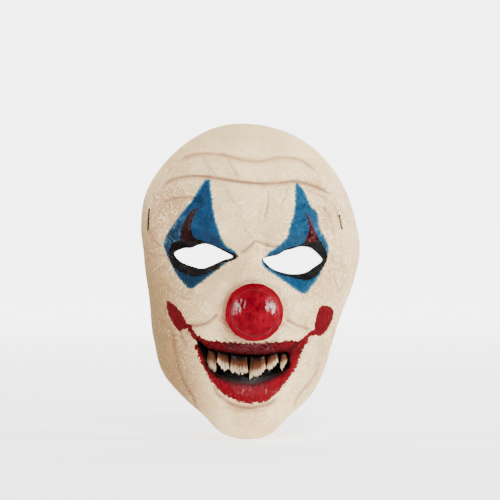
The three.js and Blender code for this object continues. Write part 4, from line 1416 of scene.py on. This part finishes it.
# %% The path of the elastic
STRAP_WIDTH = 12.0
STRAP_THICKNESS = 1.0
STRAP_UP = 0.116 * FACE_HEIGHT
STRAP_CLEARANCE = 0.6
STRAP_LAP = 24.0
STRAP_RIM_GAP = 2.0
LAP_SHARES = np.array([1, 0.75, 0.5, 0.25])
HEAD_LENGTH = 186.0
STRAP_ROUTE = [(0.915, 0.42), (0.92, 0.55), (0.865, 0.72), (0.69, 0.88), (0.38, 0.975)]


def skin_points(x, z):
    """The outer side of the wall, with its folds and without the creases."""
    return np.stack([x, SEAT_SHIFT + raw_depth(x, z, FOLDS), z], -1)


def inner_points(x, z, apart=0.4):
    """The inner side of the wall: the skin with its folds, moved one wall square to itself.
    The slopes that give the square direction are taken between places a little apart."""
    slope_x = (raw_depth(x + apart, z, FOLDS) - raw_depth(x - apart, z, FOLDS)) / (2 * apart)
    slope_z = (raw_depth(x, z + apart, FOLDS) - raw_depth(x, z - apart, FOLDS)) / (2 * apart)
    normal = np.stack([-slope_x, np.ones_like(x), -slope_z], -1)
    normal /= np.linalg.norm(normal, axis=-1, keepdims=True)
    return skin_points(x, z) + LATEX_WALL * normal


def wall_across(side, back, heights, halvings=24):
    """Halves the span between a place well inside and the rim until the inner side of the
    wall lies at the depth asked for, at all the heights together, and gives the inmost."""
    near = np.full(heights.shape, side * 0.6 * FACE_HALF_WIDTH)
    far = np.full(heights.shape, side * FACE_HALF_WIDTH)
    for _ in range(halvings):
        middle = (near + far) / 2
        inside = inner_points(middle, heights)[:, 1] < back
        near = np.where(inside, middle, near)
        far = np.where(inside, far, middle)
    return np.abs(inner_points(near, heights)[:, 0]).min()


def wall_side(side):
    """Places of the band inside one side of the mask, from its end towards the rim: at each
    share of the lap it lies the clearance and half its thickness in from the wall."""
    heights = STRAP_UP + STRAP_WIDTH / 2 * np.linspace(-1, 1, 5)
    toward = math.atan2(STRAP_UP - NOSE_Z, side * FACE_HALF_WIDTH - NOSE_X)
    rim = (SEAT_SHIFT + float(rim_back(np.array([toward]))[0])
           + float(middle_back(np.array([STRAP_UP / FACE_HEIGHT]))[0]))
    backs = rim - STRAP_LAP * LAP_SHARES - STRAP_RIM_GAP
    out = [wall_across(side, back, heights) for back in backs]
    return [(side * (x - STRAP_CLEARANCE - STRAP_THICKNESS / 2), back)
            for x, back in zip(out, backs)]


behind = np.array(STRAP_ROUTE) * (FACE_HALF_WIDTH, HEAD_LENGTH)
route = np.array(wall_side(-1) + (behind * (-1, 1)).tolist() + [(0.0, HEAD_LENGTH)]
                 + behind[::-1].tolist() + wall_side(1)[::-1])
path = open_curve(route, 12)
print("elastic is", round(path_length(path)), "mm long")

# %% [markdown]
# ## The band and its weave
# The band is its path with a thickness to each side and a height along the head. The
# section is flat with rounded edges. Its ribs run across the band, so the material reads how
# far along the path each vertex lies and makes a wave of that.

# %% Build the elastic
RIB_PITCH = 1.2
along = np.gradient(path, axis=0)
along /= np.linalg.norm(along, axis=1, keepdims=True)
square = np.stack([along[:, 1], -along[:, 0]], -1)
rim_turn = np.linspace(0, np.pi, 5)
half_thick = STRAP_THICKNESS / 2
half_high = STRAP_WIDTH / 2 - half_thick
upper = np.stack([half_thick * np.cos(rim_turn), half_high + half_thick * np.sin(rim_turn)], -1)
section = np.vstack([upper, -upper])
flat = path[:, None, :] + square[:, None, :] * section[None, :, :1]
height = np.broadcast_to(STRAP_UP + section[None, :, 1:], flat.shape[:2] + (1,))
band = np.concatenate([flat, height], -1)
count = len(section)
band_faces = grid_faces(*band.shape[:2], close_columns=True).tolist()
band_faces.append(list(range(count)))
band_faces.append(list(range(len(path) * count - 1, (len(path) - 1) * count - 1, -1)))
elastic = make_mesh("elastic_band", band.reshape(-1, 3), band_faces, smooth=False)
face_outwards(elastic)
run = np.concatenate([[0], np.cumsum(np.linalg.norm(np.diff(path, axis=0), axis=1))])
store(elastic, "along", np.repeat(run, count))

weave = plain_finish("elastic_weave", colour(12, 12, 14), 0.85)
tree = weave.node_tree
wave = maths(tree, "SINE", times(tree, field(tree, "along"), 2 * math.pi / RIB_PITCH))
bumps(tree, tree.nodes["Principled BSDF"], wave, 0.0003, strength=0.6)
elastic.data.materials.append(weave)
print("elastic has", len(elastic.data.polygons), "faces and", round(run[-1] / RIB_PITCH), "ribs")

# %% [markdown]
# ## The stitches
# Each end of the elastic is sewn through the latex with thick black thread, and only the
# row of stitches shows outside. A stitch is a small bead, longer along the row than across,
# so one rounded form is repeated down the row with a little chance in its size and place.

# %% The bead
BEAD_RINGS = 5
BEAD_SIDES = 8
u = np.linspace(0, np.pi, BEAD_RINGS + 2)[1:-1]
v = np.linspace(0, 2 * np.pi, BEAD_SIDES, endpoint=False)
bead = np.stack([np.outer(np.sin(u), np.cos(v)), np.outer(np.sin(u), np.sin(v)),
                 np.outer(np.cos(u), np.ones(BEAD_SIDES))], -1).reshape(-1, 3)
top = len(bead)
bead = np.vstack([bead, [(0, 0, 1), (0, 0, -1)]])
last = top - BEAD_SIDES
bead_faces = grid_faces(BEAD_RINGS, BEAD_SIDES, close_columns=True).tolist()
bead_faces += [(top, i, (i + 1) % BEAD_SIDES) for i in range(BEAD_SIDES)]
bead_faces += [(top + 1, last + (i + 1) % BEAD_SIDES, last + i) for i in range(BEAD_SIDES)]
print("a bead has", len(bead_faces), "faces")

# %% [markdown]
# ## The rows of stitches
# A row is given by its two ends in pixels. Along it the beads stand square to the skin: one
# direction runs down the row, one points out of the skin, and the third lies across.

# %% Build the stitches
STITCH_ROWS = [[(149.5, 208.5), (148.3, 230.5)], [(338.8, 214.5), (341.6, 229.5)]]
STITCH_STEP = 1.9
STITCH_HALF = (0.75, 0.6, 1.15)
STITCH_LIFT = 0.35
STITCH_STRAY = 0.25
beads = []
for ends in STITCH_ROWS:
    start, end = on_mask(ends)
    count = int(np.linalg.norm(end - start) / STITCH_STEP)
    t = (np.arange(count) + 0.5) / count
    x, z = (start + (end - start) * t[:, None]).T
    middle = skin_points(x, z)
    normal = inner_points(x, z) - middle
    normal /= -np.linalg.norm(normal, axis=1, keepdims=True)
    row_way = np.gradient(middle, axis=0)
    row_way /= np.linalg.norm(row_way, axis=1, keepdims=True)
    side_way = np.cross(normal, row_way)
    size = np.array(STITCH_HALF) * chance.uniform(0.8, 1.2, (count, 3))
    stray = chance.normal(0, STITCH_STRAY, (count, 1))
    middle = middle + STITCH_LIFT * normal + stray * side_way
    basis = np.stack([side_way, normal, row_way], 1)
    beads.append(middle[:, None, :] + np.einsum("bk,nk,nkj->nbj", bead, size, basis))
beads = np.vstack(beads)
stitch_faces = [[len(bead) * n + i for i in face]
                for n in range(len(beads)) for face in bead_faces]
stitches = make_mesh("stitches", beads.reshape(-1, 3), stitch_faces)
face_outwards(stitches)
stitches.data.materials.append(plain_finish("thread_black", colour(10, 9, 10), 0.7))
print(len(beads), "stitches")

# %% [markdown]
# ## Handing the pieces over
# Each new piece rides on the model's one body and stands for one of its plain nodes. The
# stitches stand for none: they are left to this file, because they are too small to model.

# %% Ride and replace
for made, node_name, slot_name in (
        (skin, "face_shell", "face_latex"), (nose, "nose", "nose_latex"),
        (teeth, "tooth_row", "tooth_latex"), (elastic, "elastic_strap", "elastic")):
    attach(made, "root")
    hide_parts(node_name)
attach(stitches, "root")

# %% [markdown]
# ## A pale backdrop
# The photograph is a plain studio one on white. A pale floor bends up into a pale wall that
# glows a little, as a lit paper backdrop does, and the floor reaches far enough that its
# edges stay out of sight. The world's own light is low and only lifts the shadows, but the
# camera sees it as pale as the wall, so a view along the floor has no dark band above it.

# %% Backdrop and world
FLOOR_Z = -0.1295
STAGE_REACH = 12.0
WALL_Y = 5.0
WALL_TOP = 6.0
BEND = 2.5
WALL_GLOW = 4.0
FLOOR_GLOW = 0.8
WORLD_LIGHT = 0.25

turn = np.linspace(-np.pi / 2, 0, 32)
sweep = np.vstack([
    [(-STAGE_REACH, FLOOR_Z)],
    np.stack([WALL_Y - BEND + BEND * np.cos(turn), FLOOR_Z + BEND + BEND * np.sin(turn)], -1),
    [(WALL_Y, WALL_TOP)],
])
width = np.array([-STAGE_REACH, STAGE_REACH])
stage_points = np.stack([
    np.repeat(width[None, :], len(sweep), 0), np.repeat(sweep[:, :1], 2, 1),
    np.repeat(sweep[:, 1:], 2, 1)], -1)
floor = make_mesh("floor", stage_points.reshape(-1, 3) / MM, grid_faces(len(sweep), 2))
pale, tree, shader = new_material("floor_pale")
shader.inputs["Base Color"].default_value = (0.9, 0.9, 0.9, 1.0)
shader.inputs["Roughness"].default_value = 0.9
shader.inputs["Emission Color"].default_value = (1.0, 1.0, 1.0, 1.0)
away = add(tree, "ShaderNodeSeparateXYZ", {0: object_place(tree)}, output=1)
tree.links.new(ramp(tree, away, -1.0, 3.0, FLOOR_GLOW, WALL_GLOW),
               shader.inputs["Emission Strength"])
floor.data.materials.append(pale)
floor.visible_glossy = False

world = bpy.data.worlds.new("pale_world")
world.use_nodes = True
world.cycles_visibility.glossy = False
tree = world.node_tree
backdrop = tree.nodes["Background"]
backdrop.inputs["Color"].default_value = (1.0, 1.0, 1.0, 1.0)
is_seen = add(tree, "ShaderNodeLightPath")
tree.links.new(ramp(tree, is_seen, 0.0, 1.0, WORLD_LIGHT, WALL_GLOW),
               backdrop.inputs["Strength"])
bpy.context.scene.world = world
print("backdrop", 2 * STAGE_REACH, "m wide, floor at", FLOOR_Z, "m")

# %% [markdown]
# ## Three lamps
# A soft lamp high in front carries the light and casts no glints. A softbox stands at each
# side, the right one stronger. The wet paints show those two as small bright marks near
# their edges, as in the photograph.

# %% Lamps
LAMP_AIM = np.array([0.0, 0.02, -0.02])


def lamp(name, place, size, power, glints=True):
    """A square area lamp that looks at the middle of the mask."""
    data = bpy.data.lights.new(name, "AREA")
    data.size = size
    data.energy = power
    made = bpy.data.objects.new(name, data)
    made.location = place
    way = LAMP_AIM - np.array(place)
    made.rotation_euler = (
        math.atan2(math.hypot(way[0], way[1]), -way[2]), 0.0, math.atan2(-way[0], way[1]))
    made.visible_glossy = glints
    bpy.context.scene.collection.objects.link(made)


lamp("front_lamp", (0.35, -1.5, 1.5), 0.45, 60.0, glints=False)
lamp("right_lamp", (1.5, -0.32, 0.42), 0.5, 54.0)
lamp("left_lamp", (-1.4, -0.25, 0.4), 0.5, 24.0)
print("lamps:", len(bpy.data.lights))
